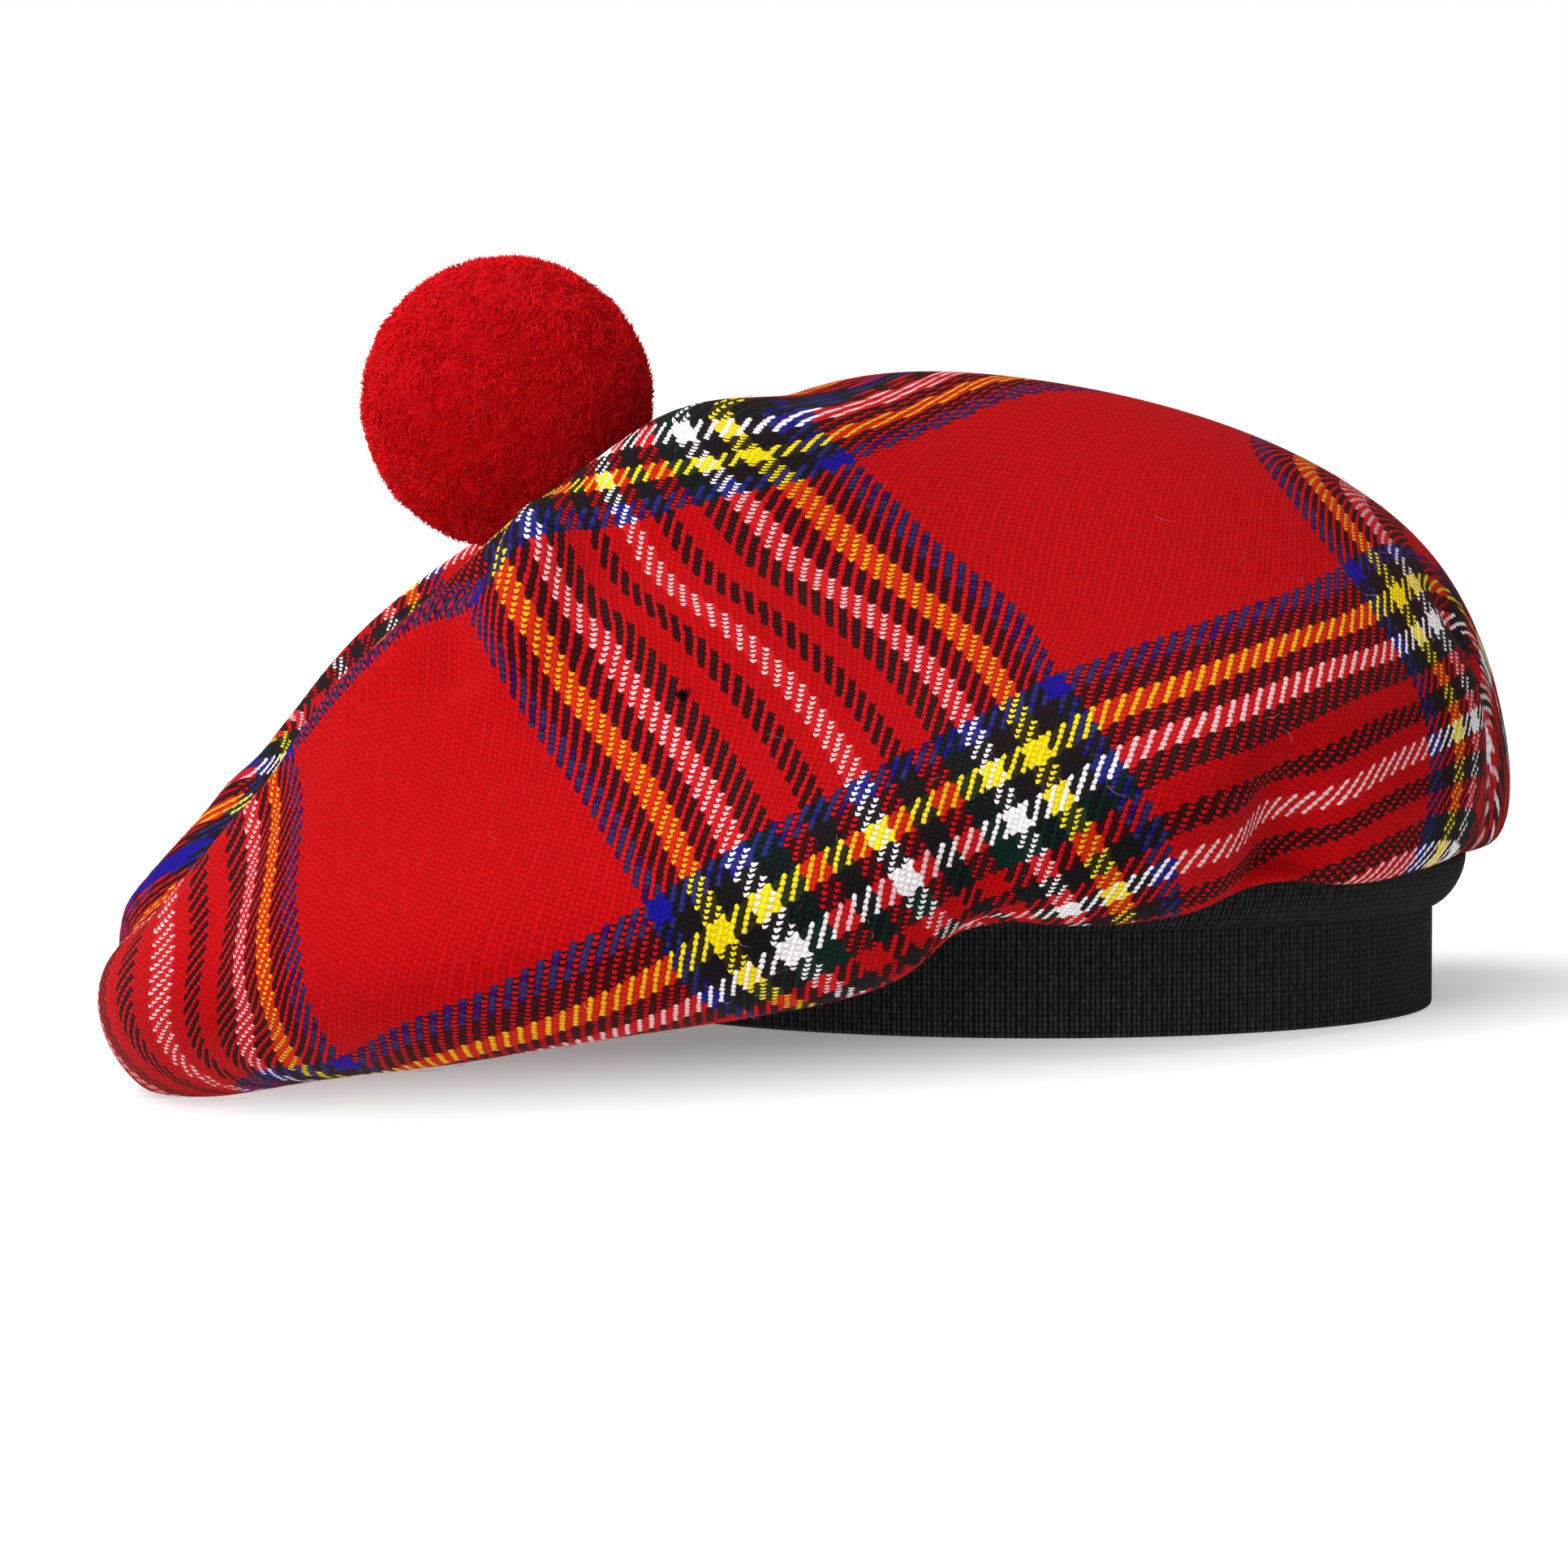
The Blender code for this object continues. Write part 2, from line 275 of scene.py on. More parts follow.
# %% Sections of the crown
SECTION_COLUMNS = ("direction", "shoulder_out", "shoulder_z", "face_out", "face_z", "brow_out", "brow_z",
                   "rim_out", "rim_z", "hem_out", "hem_z")
SECTIONS = (      # millimetres and degrees: 0 = right, -90 = viewer's side
    (0,    40, 115.5,  73, 122.3,  126,  97,  136,  60,  128,  31),
    (30,   40, 112.0,  76, 111.0,  117,  84,  136,  48,  127,  30),
    (60,   40, 108.0,  77, 101.0,  112,  73,  137,  36,  122,  24),
    (90,   40,  97.0,  76,  91.0,  115,  63,  138,  24,  121,  11),
    (120,  40,  84.0,  78,  79.0,  113,  51,  138,  12,  120,   0),
    (150,  40,  75.0,  78,  60.0,  112,  34,  138,   1,  123, -13),
    (180,  40,  71.5,  76,  50.0,  112,  30,  138,  -2,  132, -18),
    (-150, 40,  76.0,  78,  60.0,  112,  36,  138,   3,  122, -11),
    (-120, 40,  86.0,  76,  80.0,  113,  43,  138,  11,  121,  -1),
    (-90,  40, 100.0,  76,  83.0,  115,  49,  137,  24,  121,  11),
    (-60,  40, 114.0,  77,  90.0,  112,  63,  132,  40,  118,  25),
    (-30,  40, 116.0,  75, 107.0,  117,  83,  136,  51,  127,  30),
)
KEYS = (          # key, centre x, centre y, from the pompom's tie to the band's seam
    ("tie",      -102,  4),
    ("collar",   -101,  4),
    ("shoulder",  -92,  2),
    ("face",      -72,  1),
    ("brow",      -56,  0),
    ("rim",       -44,  0),
    ("hem",       -40,  0),
    ("tuck",        0,  0),
    ("seam",        0,  0),
)
TIE_HEIGHT = 88.4
COLLAR_OUT = 13.0
COLLAR_RISE_RIGHT, COLLAR_FALL_LEFT = 1.0, 3.5
TUCK_SHARE, TUCK_HEIGHT = 0.25, 31.0
SEAM_OUT, SEAM_HEIGHT = 84.4, 30.4
SEWN_SHARE = 0.09
GATHERS, GATHER_DEPTH, GATHER_START = 12, 1.8, 0.68
GATHER_DRIFTS = ((2, 1.1), (5, 0.8))
REST_EASE = 1.0
print("directions:", len(SECTIONS), "keys along each:", len(KEYS))

# %% Folds and dents of the crown
FOLDS = (
    # name, first point x y z, second point x y z, reach, push out (+) or in (-)
    ("valley_by_bulge",  -107, -50,  88,  -105, -76,  66,   7, -5.5),
    ("bulge_lip",         -95, -54,  98,   -95, -80,  72,   8,  5.0),
    ("front_dent",        -76, -70,  88,   -42, -68,  86,  10, -2.5),
    ("left_crease",      -148, -66,  42,  -146, -96,  -8,   8, -2.5),
    ("ridge_groove",     -126, -48,  76,  -174, -14,  20,   9, -2.5),
    ("near_ridge",       -120, -72,  76,  -166, -40,  26,   9,  2.5),
    ("ridge_drop_upper", -116, -38,  80,  -138, -40,  60,  14, -2.0),
    ("ridge_drop_lower", -146, -40,  50,  -164, -34,  28,  16, -7.0),
    ("hollow",           -124,   0,  76,  -160,   0,  34,  24, -11.0),
    ("far_ridge",        -106,  56,  84,  -146,  50,  50,  14,  6.0),
    ("far_tip",          -158,  42,  34,  -172,  30,  14,  12,  7.0),
    ("side_groove",        84, -34,  80,    84, -30,  34,   7, -3.5),
    ("front_notch",       -12, -112,  16,   -14, -122, 34,  11, -6.0),
    ("side_notch",         45, -88,  26,    46, -98, 44,  11, -8.0),
    ("back_groove_right",  50,  90,  30,    50,  88,  60,   9, -4.0),
    ("back_groove_left",  -60, 128,   8,   -62, 120,  50,  10, -4.0),
    ("back_dent",         -20, 100,  66,   -70, 104,  60,  12, -3.0),
)
print("folds and dents:", len(FOLDS))


# %% A smooth curve through the tables
def spline_weights(knots, places, period=None):
    """Weights of a smooth curve through values at knots, read at places (rows add up to 1)."""
    knots, places = np.asarray(knots, float), np.asarray(places, float)
    count = len(knots)
    after = (np.arange(count) + 1) % count
    gaps = (knots[after] - knots) % period if period else np.diff(knots)
    slopes_from, right_side = np.zeros((2, count, count))
    for i, gap in enumerate(gaps):                 # each stretch counts in both its ends' equations
        for end, other in ((i, after[i]), (after[i], i)):
            slopes_from[end, end] += 2 / gap
            slopes_from[end, other] += 1 / gap
            right_side[end, after[i]] += 3 / gap ** 2
            right_side[end, i] -= 3 / gap ** 2
    slopes = np.linalg.solve(slopes_from, right_side)
    if period:
        places = (places - knots[0]) % period + knots[0]
    i = np.clip(np.searchsorted(knots, places, "right") - 1, 0, len(gaps) - 1)
    rows, part = np.arange(len(places)), (places - knots[i]) / gaps[i]
    weights = ((part ** 3 - 2 * part ** 2 + part) * gaps[i])[:, None] * slopes[i]
    weights += ((part ** 3 - part ** 2) * gaps[i])[:, None] * slopes[after[i]]
    weights[rows, i] += 2 * part ** 3 - 3 * part ** 2 + 1
    weights[rows, after[i]] += 3 * part ** 2 - 2 * part ** 3
    return weights


# %% The crown without its folds
def key_points():
    """The crown's keys as points in millimetres: keys x directions x 3, and the directions."""
    table = np.array(sorted(SECTIONS, key=lambda row: row[0] % 360), float)
    column = {name: table[:, k] for k, name in enumerate(SECTION_COLUMNS)}
    directions = column["direction"] % 360
    turn = np.radians(directions)
    facing_right = np.cos(turn)
    collar_slope = np.where(facing_right > 0, COLLAR_RISE_RIGHT, COLLAR_FALL_LEFT)
    sizes = {"tie": (0, TIE_HEIGHT), "collar": (COLLAR_OUT, TIE_HEIGHT + collar_slope * facing_right),
             "tuck": (0, TUCK_HEIGHT), "seam": (SEAM_OUT, SEAM_HEIGHT)}
    rings = {}
    for key, centre_x, centre_y in KEYS:
        out, height = sizes.get(key) or (column[key + "_out"], column[key + "_z"])
        rings[key] = np.stack([centre_x + out * np.cos(turn), centre_y + out * np.sin(turn),
                               height + 0 * turn], axis=-1)
    level = rings["tuck"][:, 2].copy()
    rings["tuck"] = rings["seam"] * (1 - TUCK_SHARE) + rings["hem"] * TUCK_SHARE
    rings["tuck"][:, 2] = level
    return np.array([rings[key[0]] for key in KEYS]), directions


def plain_crown(angles, shares):
    """Points in metres, shares x angles x 3; a share is how far from tie to seam the cloth has come."""
    keys, directions = key_points()
    lines = np.zeros((len(shares), len(directions), 3))
    for k in range(len(directions)):
        lengths = np.linalg.norm(np.diff(keys[:, k], axis=0), axis=1)
        knots = np.concatenate([[0], np.cumsum(lengths)]) / lengths.sum()
        lines[:, k] = spline_weights(knots, shares) @ keys[:, k]
    around = spline_weights(directions, angles, period=360)
    return np.einsum("sdc,ad->sac", lines, around) * MM


# %% The crown with folds, gathers and its flattened underside
def outward(points):
    """Outward directions of a grid of points that closes on itself round its second axis."""
    along = np.gradient(points, axis=0)
    around = (np.roll(points, -1, axis=1) - np.roll(points, 1, axis=1)) / 2
    normal = np.cross(around, along)
    normal[0] = (0, 0, -1)
    length = np.linalg.norm(normal, axis=-1, keepdims=True)
    return -normal / np.maximum(length, 1e-12)


def fold(points):
    """How far the table of folds pushes each point of the cloth in or out."""
    moved = np.zeros(points.shape[:2])
    for _, x0, y0, z0, x1, y1, z1, reach, push in FOLDS:
        start, end = np.array((x0, y0, z0)) * MM, np.array((x1, y1, z1)) * MM
        run = end - start
        part = np.clip((points - start) @ run / (run @ run), 0, 1)
        distance = np.linalg.norm(points - (start + part[..., None] * run), axis=-1)
        moved += push * MM * np.exp(-(distance / (reach * MM)) ** 2)
    return moved


def gather(angles, shares):
    """How far the gathers push each point: uneven waves round the hat that deepen to the band."""
    turn = np.radians(angles)
    drift = sum(size * np.sin(count * turn) for count, size in GATHER_DRIFTS)
    waves = np.cos(GATHERS * turn + drift)
    depth = np.clip((shares - GATHER_START) / (1 - GATHER_START), 0, 1) * GATHER_DEPTH * MM
    return depth[:, None] * waves[None, :]


def crown_points(steps_around, steps_along):
    """The crown's outer face as a grid of points, eased flat where it meets the ground."""
    angles = np.arange(steps_around) * 360 / steps_around
    shares = np.linspace(0, 1, steps_along + 1)
    points = plain_crown(angles, shares)
    free = np.clip((1 - shares) / SEWN_SHARE - 0.5, 0, 1)[:, None]
    points = points + outward(points) * ((fold(points) + gather(angles, shares)) * free)[..., None]
    clear = points[..., 2] - (points[..., 0] - BAND_RADIUS) * tan(REST_TILT)
    points[..., 2] += (clear + np.sqrt(clear ** 2 + (REST_EASE * MM) ** 2)) / 2 - clear
    return points


def cloth_grid(steps_around, steps_along):
    """One round of cloth: a flat grid wrapped round the tie, its vertices marked with their places."""
    points = crown_points(steps_around, steps_along)
    cloth = bmesh.new()
    around_mark = cloth.verts.layers.int.new("around")
    along_mark = cloth.verts.layers.int.new("along")
    bmesh.ops.create_grid(cloth, x_segments=steps_around, y_segments=steps_along, size=1)
    for vertex in cloth.verts:
        around = round((1 - vertex.co.x) / 2 * steps_around) % steps_around
        along = round((vertex.co.y + 1) / 2 * steps_along)
        vertex[around_mark], vertex[along_mark] = around, along
        vertex.co = points[along, around]
    bmesh.ops.remove_doubles(cloth, verts=cloth.verts, dist=0.01 * MM)
    return cloth, around_mark, along_mark


# %% [markdown]
# The stripes of a real tartan run straight on the flat cloth, and only look bent because the cloth
# bends. Wrapping the pattern round the hat would bend them wrongly, and projecting it from the front
# would smear it at the sides. So the crown is flattened. Three things pull at the flat cloth: each
# small triangle of the form towards its true size and shape, neighbouring triangles towards each
# other, and stripes read from the photograph towards their places. A stripe is read as its
# number of threads from the white line that crosses the middle of the front, with the pixels it
# passes through.
#
# Here the read stripes win, and the cloth's own shape gives way. The front follows the photograph,
# but over most of the crown the threads are too wide one way and too narrow the other. A real cloth
# can't do that, so the front is the model here, and the back and the flat size are not.

# %% Stripes and the pixels they pass through
THREAD = 0.86 * MM           # from one thread to the next
REPEAT = 200                 # threads until the check repeats
# Each row: threads from the middle white line, then pixels that the stripe passes through.
UPRIGHT = (
    (-270, (325, 943)),
    (-264, (284, 985)),
    (-254.5, (262, 1016), (250, 1036), (216, 1060), (197, 1084)),
    (-242.5, (210, 1098), (180, 1122)),
    (-230.5, (131, 1215)),
    (-211.5, (172, 1169), (176, 1282)),
    (-200, (207, 1129), (210, 1210), (219, 1319)),
    (-188.5, (247, 1072), (247, 1182), (244, 1266)),
    (-169.5, (312, 1000), (310, 1079), (298, 1229), (298, 1297)),
    (-157.5, (343, 951), (333, 997), (337, 1079), (329, 1191), (341, 1310)),
    (-142.5, (360, 938), (376, 991), (366, 1047), (357, 1097), (369, 1150), (398, 1266), (405, 1310)),
    (-57.5, (578, 764), (618, 830), (690, 940), (800, 1113)),
    (-42.5, (640, 745), (690, 830), (745, 900), (850, 1080)),
    (-30.5, (672, 670), (752, 786), (840, 920), (905, 1035)),
    (0, (770, 634), (814, 710), (846, 741), (890, 764), (975, 844), (1060, 965)),
    (30.5, (908, 612), (980, 697), (1051, 746), (1158, 844)),
    (42.5, (966, 590), (1051, 674), (1114, 723), (1225, 830)),
    (42.5, (874, 509)),
    (54.5, (1030, 565), (996, 545), (961, 521), (932, 505)),
    (57.5, (1044, 565), (1154, 670), (1260, 755), (1298, 832)),
    (145.5, (1542, 546), (1570, 574), (1602, 612), (1625, 645), (1650, 680)),
    (145.5, (1719, 777), (1761, 866), (1773, 962)),
    (157.5, (1598, 568), (1625, 597), (1648, 626), (1665, 650), (1685, 675)),
    (169.5, (1640, 592), (1664, 614), (1682, 635), (1700, 656), (1720, 682)),
)
LEVEL = (
    (-30.5, (1681, 1080), (1741, 1056)),
    (-11.5, (1620, 1034), (1757, 970)),
    (0, (1508, 1042), (1600, 994), (1757, 922), (1800, 898), (1835, 878)),
    (30.5, (1788, 770)),
    (30.5, (1504, 890), (1717, 805)),
    (42.5, (1764, 720)),
    (42.5, (1504, 829), (1600, 789), (1689, 757)),
    (54.5, (1735, 672)),
    (57.5, (410, 1310), (485, 1266), (610, 1218), (800, 1115)),
    (57.5, (1060, 960), (1300, 835), (1500, 762), (1600, 730)),
    (62, (217, 1312), (298, 1300)),
    (96, (210, 1210), (300, 1183), (335, 1150)),
    (120, (209, 1140), (305, 1075)),
    (142.5, (638, 672), (707, 643), (828, 627), (899, 607)),
    (142.5, (604, 723), (572, 727), (543, 743), (505, 773), (470, 806), (442, 834), (421, 852)),
    (142.5, (402, 874), (382, 905), (370, 928)),
    (145.5, (250, 1036)),
    (145.5, (1022, 565), (1080, 541), (1133, 521), (1180, 502), (1222, 485), (1250, 474)),
    (157.5, (284, 985)),
    (157.5, (994, 552), (1078, 524), (1133, 504), (1189, 482), (1222, 470)),
    (157.5, (604, 702)),
    (169.5, (325, 943)),
    (169.5, (961, 524), (1022, 513), (1078, 499), (1128, 482), (1160, 472)),
    (189, (382, 876)),
)
CROSSINGS = (      # threads of the upright stripe, threads of the level one, pixel x, pixel y
    (42.5, 42.5, 1279, 931), (30.5, 42.5, 1223, 956), (42.5, 30.5, 1303, 989), (30.5, 30.5, 1255, 1013),
    (0, 42.5, 1084, 1033), (0, 30.5, 1117, 1087), (-30.5, 42.5, 950, 1113), (-42.5, 42.5, 892, 1151),
    (-30.5, 30.5, 982, 1170), (-42.5, 30.5, 924, 1204), (17.75, 17.75, 1227, 1093),
    (-17.75, 17.75, 1075, 1180), (42.5, 0, 1372, 1101), (54.5, 0, 1431, 1073), (54.5, 54.5, 1304, 844),
    (42.5, 157.5, 924, 560),
    (30.5, 157.5, 872, 574), (30.5, 169.5, 841, 534), (42.5, 169.5, 897, 526), (0, 157.5, 741, 594),
    (0, 169.5, 710, 580), (157.5, 42.5, 1727, 735), (145.5, 54.5, 1675, 703), (157.5, 30.5, 1749, 787),
    (169.5, 30.5, 1767, 775), (157.5, 0, 1799, 898), (145.5, 0, 1767, 920),
)
print("rows of stripes:", len(UPRIGHT) + len(LEVEL), "crossings:", len(CROSSINGS))


# %% A coarse copy of the crown, cut into triangles
COARSE_AROUND, COARSE_ALONG = 84, 42

coarse, coarse_around, coarse_along = cloth_grid(COARSE_AROUND, COARSE_ALONG)
bmesh.ops.triangulate(coarse, faces=coarse.faces)
bmesh.ops.recalc_face_normals(coarse, faces=coarse.faces)
coarse.verts.index_update()
spots = np.array([vertex.co for vertex in coarse.verts]) / MM
corners = np.array([[vertex.index for vertex in face.verts] for face in coarse.faces])
ring = np.array([vertex[coarse_along] for vertex in coarse.verts])
spoke = np.array([vertex[coarse_around] for vertex in coarse.verts])
search_tree = BVHTree.FromBMesh(coarse)
coarse.free()
order = np.lexsort((spoke, ring))                  # from the tie outward, ring by ring
spots, ring, spoke = spots[order], ring[order], spoke[order]
corners = np.argsort(order)[corners]

# %% How the flat place of its corners tells a triangle's stretch
corner_a, corner_b, corner_c = (spots[corners[:, k]] for k in range(3))
side_length = np.linalg.norm(corner_b - corner_a, axis=1)
crosswise = np.cross(corner_b - corner_a, corner_c - corner_a)
face_area = np.linalg.norm(crosswise, axis=1) / 2
axis_x = (corner_b - corner_a) / side_length[:, None]
axis_y = np.cross(crosswise / (2 * face_area[:, None]), axis_x)
own_b = np.stack([side_length, 0 * side_length], axis=-1)
own_c = np.stack([((corner_c - corner_a) * axis).sum(1) for axis in (axis_x, axis_y)], axis=-1)
inverse = np.linalg.inv(np.stack([own_b, own_c], axis=-1))
slope = np.concatenate([-inverse.sum(1, keepdims=True), inverse], axis=1)   # triangle, corner, axis
print("triangles:", len(corners), "surface in cm2:", round(face_area.sum() / 100))


# %% Where the read stripes lie on the form
def on_cloth(pixel_x, pixel_y):
    """The triangle seen at a pixel, the shares of its corners there, and how squarely it is seen."""
    direction = sight(pixel_x, pixel_y)
    spot, normal, index, _ = search_tree.ray_cast(eye, direction)
    if spot is None:
        return None
    triangle = [Vector(spots[corner] * MM) for corner in corners[index]]
    return corners[index], np.array(poly_3d_calc(triangle, spot)), abs(normal.dot(direction))


upright_read, level_read = (
    [(threads, on_cloth(*pixel)) for threads, *pixels in table for pixel in pixels]
    for table in (UPRIGHT, LEVEL))
for threads_upright, threads_level, *pixel in CROSSINGS:
    crossing = on_cloth(*pixel)
    upright_read.append((threads_upright, crossing))
    level_read.append((threads_level, crossing))
readings = [[row for row in rows if row[1]] for rows in (upright_read, level_read)]
print("readings of the upright and the level stripes:", [len(rows) for rows in readings],
      "off the cloth:", len(upright_read) + len(level_read) - sum(map(len, readings)))

# %% What holds the flat cloth together
HOLD = 100.0                 # how strongly a reading pulls, against the cloth's own shape
SMOOTH = 150.0               # how strongly neighbouring triangles are kept alike

stiffness = np.zeros((len(spots), len(spots)))
for i in range(3):
    for j in range(3):
        np.add.at(stiffness, (corners[:, i], corners[:, j]), face_area * (slope[:, i] * slope[:, j]).sum(1))
lumped = np.zeros(len(spots))
np.add.at(lumped, corners, face_area[:, None] / 3)
pull = stiffness.copy()
for row, share in zip(stiffness, lumped):
    near = np.flatnonzero(row)
    pull[np.ix_(near, near)] += SMOOTH / share * np.outer(row[near], row[near])
print("mean number of neighbours of a point:", round(np.count_nonzero(stiffness) / len(spots) - 1, 1))

# %% A solver for a cloth that is made ring by ring
RING_ENDS = [0] + [1 + 2 * k * COARSE_AROUND for k in range(1, COARSE_ALONG // 2 + 1)]
PAIRS_OF_RINGS = [slice(low, high) for low, high in zip(RING_ENDS, RING_ENDS[1:])]


def prepare(matrix):
    """Take the equations apart, ring pair by ring pair, each of which only touches its neighbours."""
    inverses = [np.linalg.inv(matrix[PAIRS_OF_RINGS[0], PAIRS_OF_RINGS[0]])]
    for before, here in zip(PAIRS_OF_RINGS, PAIRS_OF_RINGS[1:]):
        inverses.append(np.linalg.inv(
            matrix[here, here] - matrix[here, before] @ inverses[-1] @ matrix[before, here]))
    return inverses


def solve(matrix, inverses, right_side):
    """Solve them: once inwards to outwards, and once back."""
    answer = right_side.copy()
    steps = list(zip(PAIRS_OF_RINGS, PAIRS_OF_RINGS[1:], inverses))
    for before, here, inverted in steps:
        answer[here] -= matrix[here, before] @ (inverted @ answer[before])
    answer[PAIRS_OF_RINGS[-1]] = inverses[-1] @ answer[PAIRS_OF_RINGS[-1]]
    for before, here, inverted in reversed(steps):
        answer[before] = inverted @ (answer[before] - matrix[before, here] @ answer[here])
    return answer


systems = []
for rows in readings:
    matrix, target = pull.copy(), np.zeros(len(spots))
    for threads, (triangle, weights, squarely) in rows:
        strength = HOLD * squarely ** 2
        matrix[np.ix_(triangle, triangle)] += strength * np.outer(weights, weights)
        target[triangle] += strength * weights * threads * THREAD / MM
    systems.append((matrix, prepare(matrix), target))
print("ring pairs:", len(PAIRS_OF_RINGS))

# %% Flatten the cloth
CLOTH_SPARE = 0.60           # most extra cloth in the gathers, as a share
CLOTH_GIVE = 0.03            # how much the cloth may bunch up elsewhere
SPARE_FROM, SPARE_TO = 0.55, 0.80
STIFF = 0.15                 # how far a triangle is drawn back to its own size in each round
START_TURN = radians(20)
ROUNDS = 80


def as_grid(values):
    """Values of the coarse copy's points as rings x spokes; the tie's one point fills its ring."""
    grid = np.zeros((COARSE_ALONG + 1, COARSE_AROUND, values.shape[1]))
    grid[ring, spoke] = values
    grid[0] = values[ring == 0]
    return grid


spare = np.clip(((ring / COARSE_ALONG)[corners].mean(1) - SPARE_FROM) / (SPARE_TO - SPARE_FROM), 0, 1)
most = (1 + CLOTH_GIVE + CLOTH_SPARE * spare)[:, None]
spot_grid = as_grid(spots)
run_length = np.cumsum(np.linalg.norm(np.diff(spot_grid, axis=0, prepend=spot_grid[:1]), axis=2), axis=0)
start_turn = spoke * 2 * pi / COARSE_AROUND + START_TURN
flat = run_length[ring, spoke][:, None] * np.stack([np.cos(start_turn), np.sin(start_turn)], axis=-1)
for _ in range(ROUNDS):
    stretch = np.einsum("fkc,fka->fca", flat[corners], slope)
    left, sizes, right = np.linalg.svd(stretch)
    mirrored = np.linalg.det(left @ right) < 0
    left[mirrored, :, 1] *= -1
    sizes[mirrored, 1] *= -1
    wanted = left @ (((1 - STIFF) * np.clip(sizes, 1, most) + STIFF)[:, :, None] * right)
    columns = []
    for k, (matrix, inverses, target) in enumerate(systems):
        right_side = target.copy()
        np.add.at(right_side, corners, face_area[:, None] * np.einsum("fka,fa->fk", slope, wanted[:, k]))
        columns.append(solve(matrix, inverses, right_side))
    flat = np.stack(columns, axis=-1)

# %% [markdown]
# ## The crown's mesh
# The same form on a fine grid, with each vertex's place on the flat cloth kept in a UV map that is
# counted in repeats of the check. A Solidify modifier gives the cloth its thickness, inwards, so the
# outside stays where the solid's outside is.

# %% Crown
CROWN_AROUND, CROWN_ALONG = 288, 120
CLOTH_WALL = 2.0 * MM

fine_along = spline_weights(np.linspace(0, 1, COARSE_ALONG + 1), np.linspace(0, 1, CROWN_ALONG + 1))
fine_around = spline_weights(np.arange(COARSE_AROUND) * 360 / COARSE_AROUND,
                             np.arange(CROWN_AROUND) * 360 / CROWN_AROUND, period=360)
cloth_map = np.einsum("sk,kac,ba->sbc", fine_along, as_grid(flat), fine_around) * MM / THREAD / REPEAT

cloth, cloth_around, cloth_along = cloth_grid(CROWN_AROUND, CROWN_ALONG)
bmesh.ops.recalc_face_normals(cloth, faces=cloth.faces)
cloth_uv = cloth.loops.layers.uv.new("cloth")
for face in cloth.faces:
    for loop in face.loops:
        loop[cloth_uv].uv = cloth_map[loop.vert[cloth_along], loop.vert[cloth_around]]
print("crown faces:", len(cloth.faces))

# %% [markdown]
# ## Tartan twill
# Tartan is coloured before it is woven. Each thread has one colour, and warp and weft take the same
# order of colours, the sett. In a 2/2 twill each thread passes over two and under two, one step
# further on each row, which gives the fine slanting lines and the half-tones where stripes cross.
# The material does what the loom does: it counts the threads, asks which one is on top, and gives
# that thread's colour, with painted shade towards the edges of each float. Photographs of cloth would
# do it faster, but they blur as one comes near, and could not be recoloured.

# %% The sett
DYES = {
    "white": paint(240, 234, 236),
    "red": paint(190, 8, 16),
    "black": paint(20, 18, 20),
    "green": paint(7, 34, 29),
    "yellow": paint(238, 210, 20),
    "blue": paint(19, 15, 128),
}
SETT = (("white", 3), ("red", 5), ("black", 6), ("red", 7), ("green", 7), ("white", 6),
        ("black", 6), ("yellow", 6), ("black", 6), ("blue", 6), ("red", 42))

sett, sett_in, sett_out = group("sett", [("Thread", "Float")], [("Colour", "Color"), ("Blue", "Float")])
counted = calc("PINGPONG", sett_in["Thread"], REPEAT / 2)
ramp = place(sett, "ValToRGB", {"Fac": calc("DIVIDE", counted, REPEAT / 2)})
ramp.color_ramp.interpolation = "CONSTANT"
stops = ramp.color_ramp.elements
threads_laid = 0
for dye, count in SETT:
    stop = stops.new(threads_laid / (REPEAT / 2)) if threads_laid else stops[0]
    stop.color = DYES[dye]
    if dye == "blue":
        is_blue = calc("COMPARE", counted, threads_laid + count / 2, count / 2)
    threads_laid += count
stops.remove(stops[-1])
sett.links.new(ramp.outputs["Color"], sett_out.inputs["Colour"])
sett.links.new(is_blue, sett_out.inputs["Blue"])
print("sett threads:", threads_laid, "of", REPEAT // 2)

# %% The floats of the twill
WARP_BEAD = (0.80, 0.96, 0.55)         # half length and half width of a float, and its slant
WEFT_BEAD = (0.92, 1.10, -0.55)
RAGGED, RAGGED_GRAIN = 0.28, 1.9       # how uneven the floats' edges are, and how often in a thread

twill, twill_in, twill_out = group(
    "twill", [("Threads", "Vector")],
    [("Warp On Top", "Float"), ("Warp Thread", "Float"), ("Weft Thread", "Float"),
     ("Height", "Float"), ("Chance", "Float")])
across_warp, across_weft, _ = place(twill, "SeparateXYZ", {0: twill_in["Threads"]}).outputs
warp, weft = calc("FLOOR", across_warp), calc("FLOOR", across_weft)


def bead(run, across, half_length, half_width, slant):
    """How far inside the oval float of a thread a point lies: 1 at its middle, 0 at its edge."""
    sideways = scaled(2.0, calc("FRACT", across), -1.0)
    along = scaled(slant * 0.5, sideways, calc("WRAP", run, 2.0, -2.0))
    along = calc("POWER", calc("DIVIDE", along, half_length), 2.0)
    sideways = calc("POWER", calc("DIVIDE", sideways, half_width), 2.0)
    return calc("SUBTRACT", calc("SUBTRACT", 1.0, along), sideways)


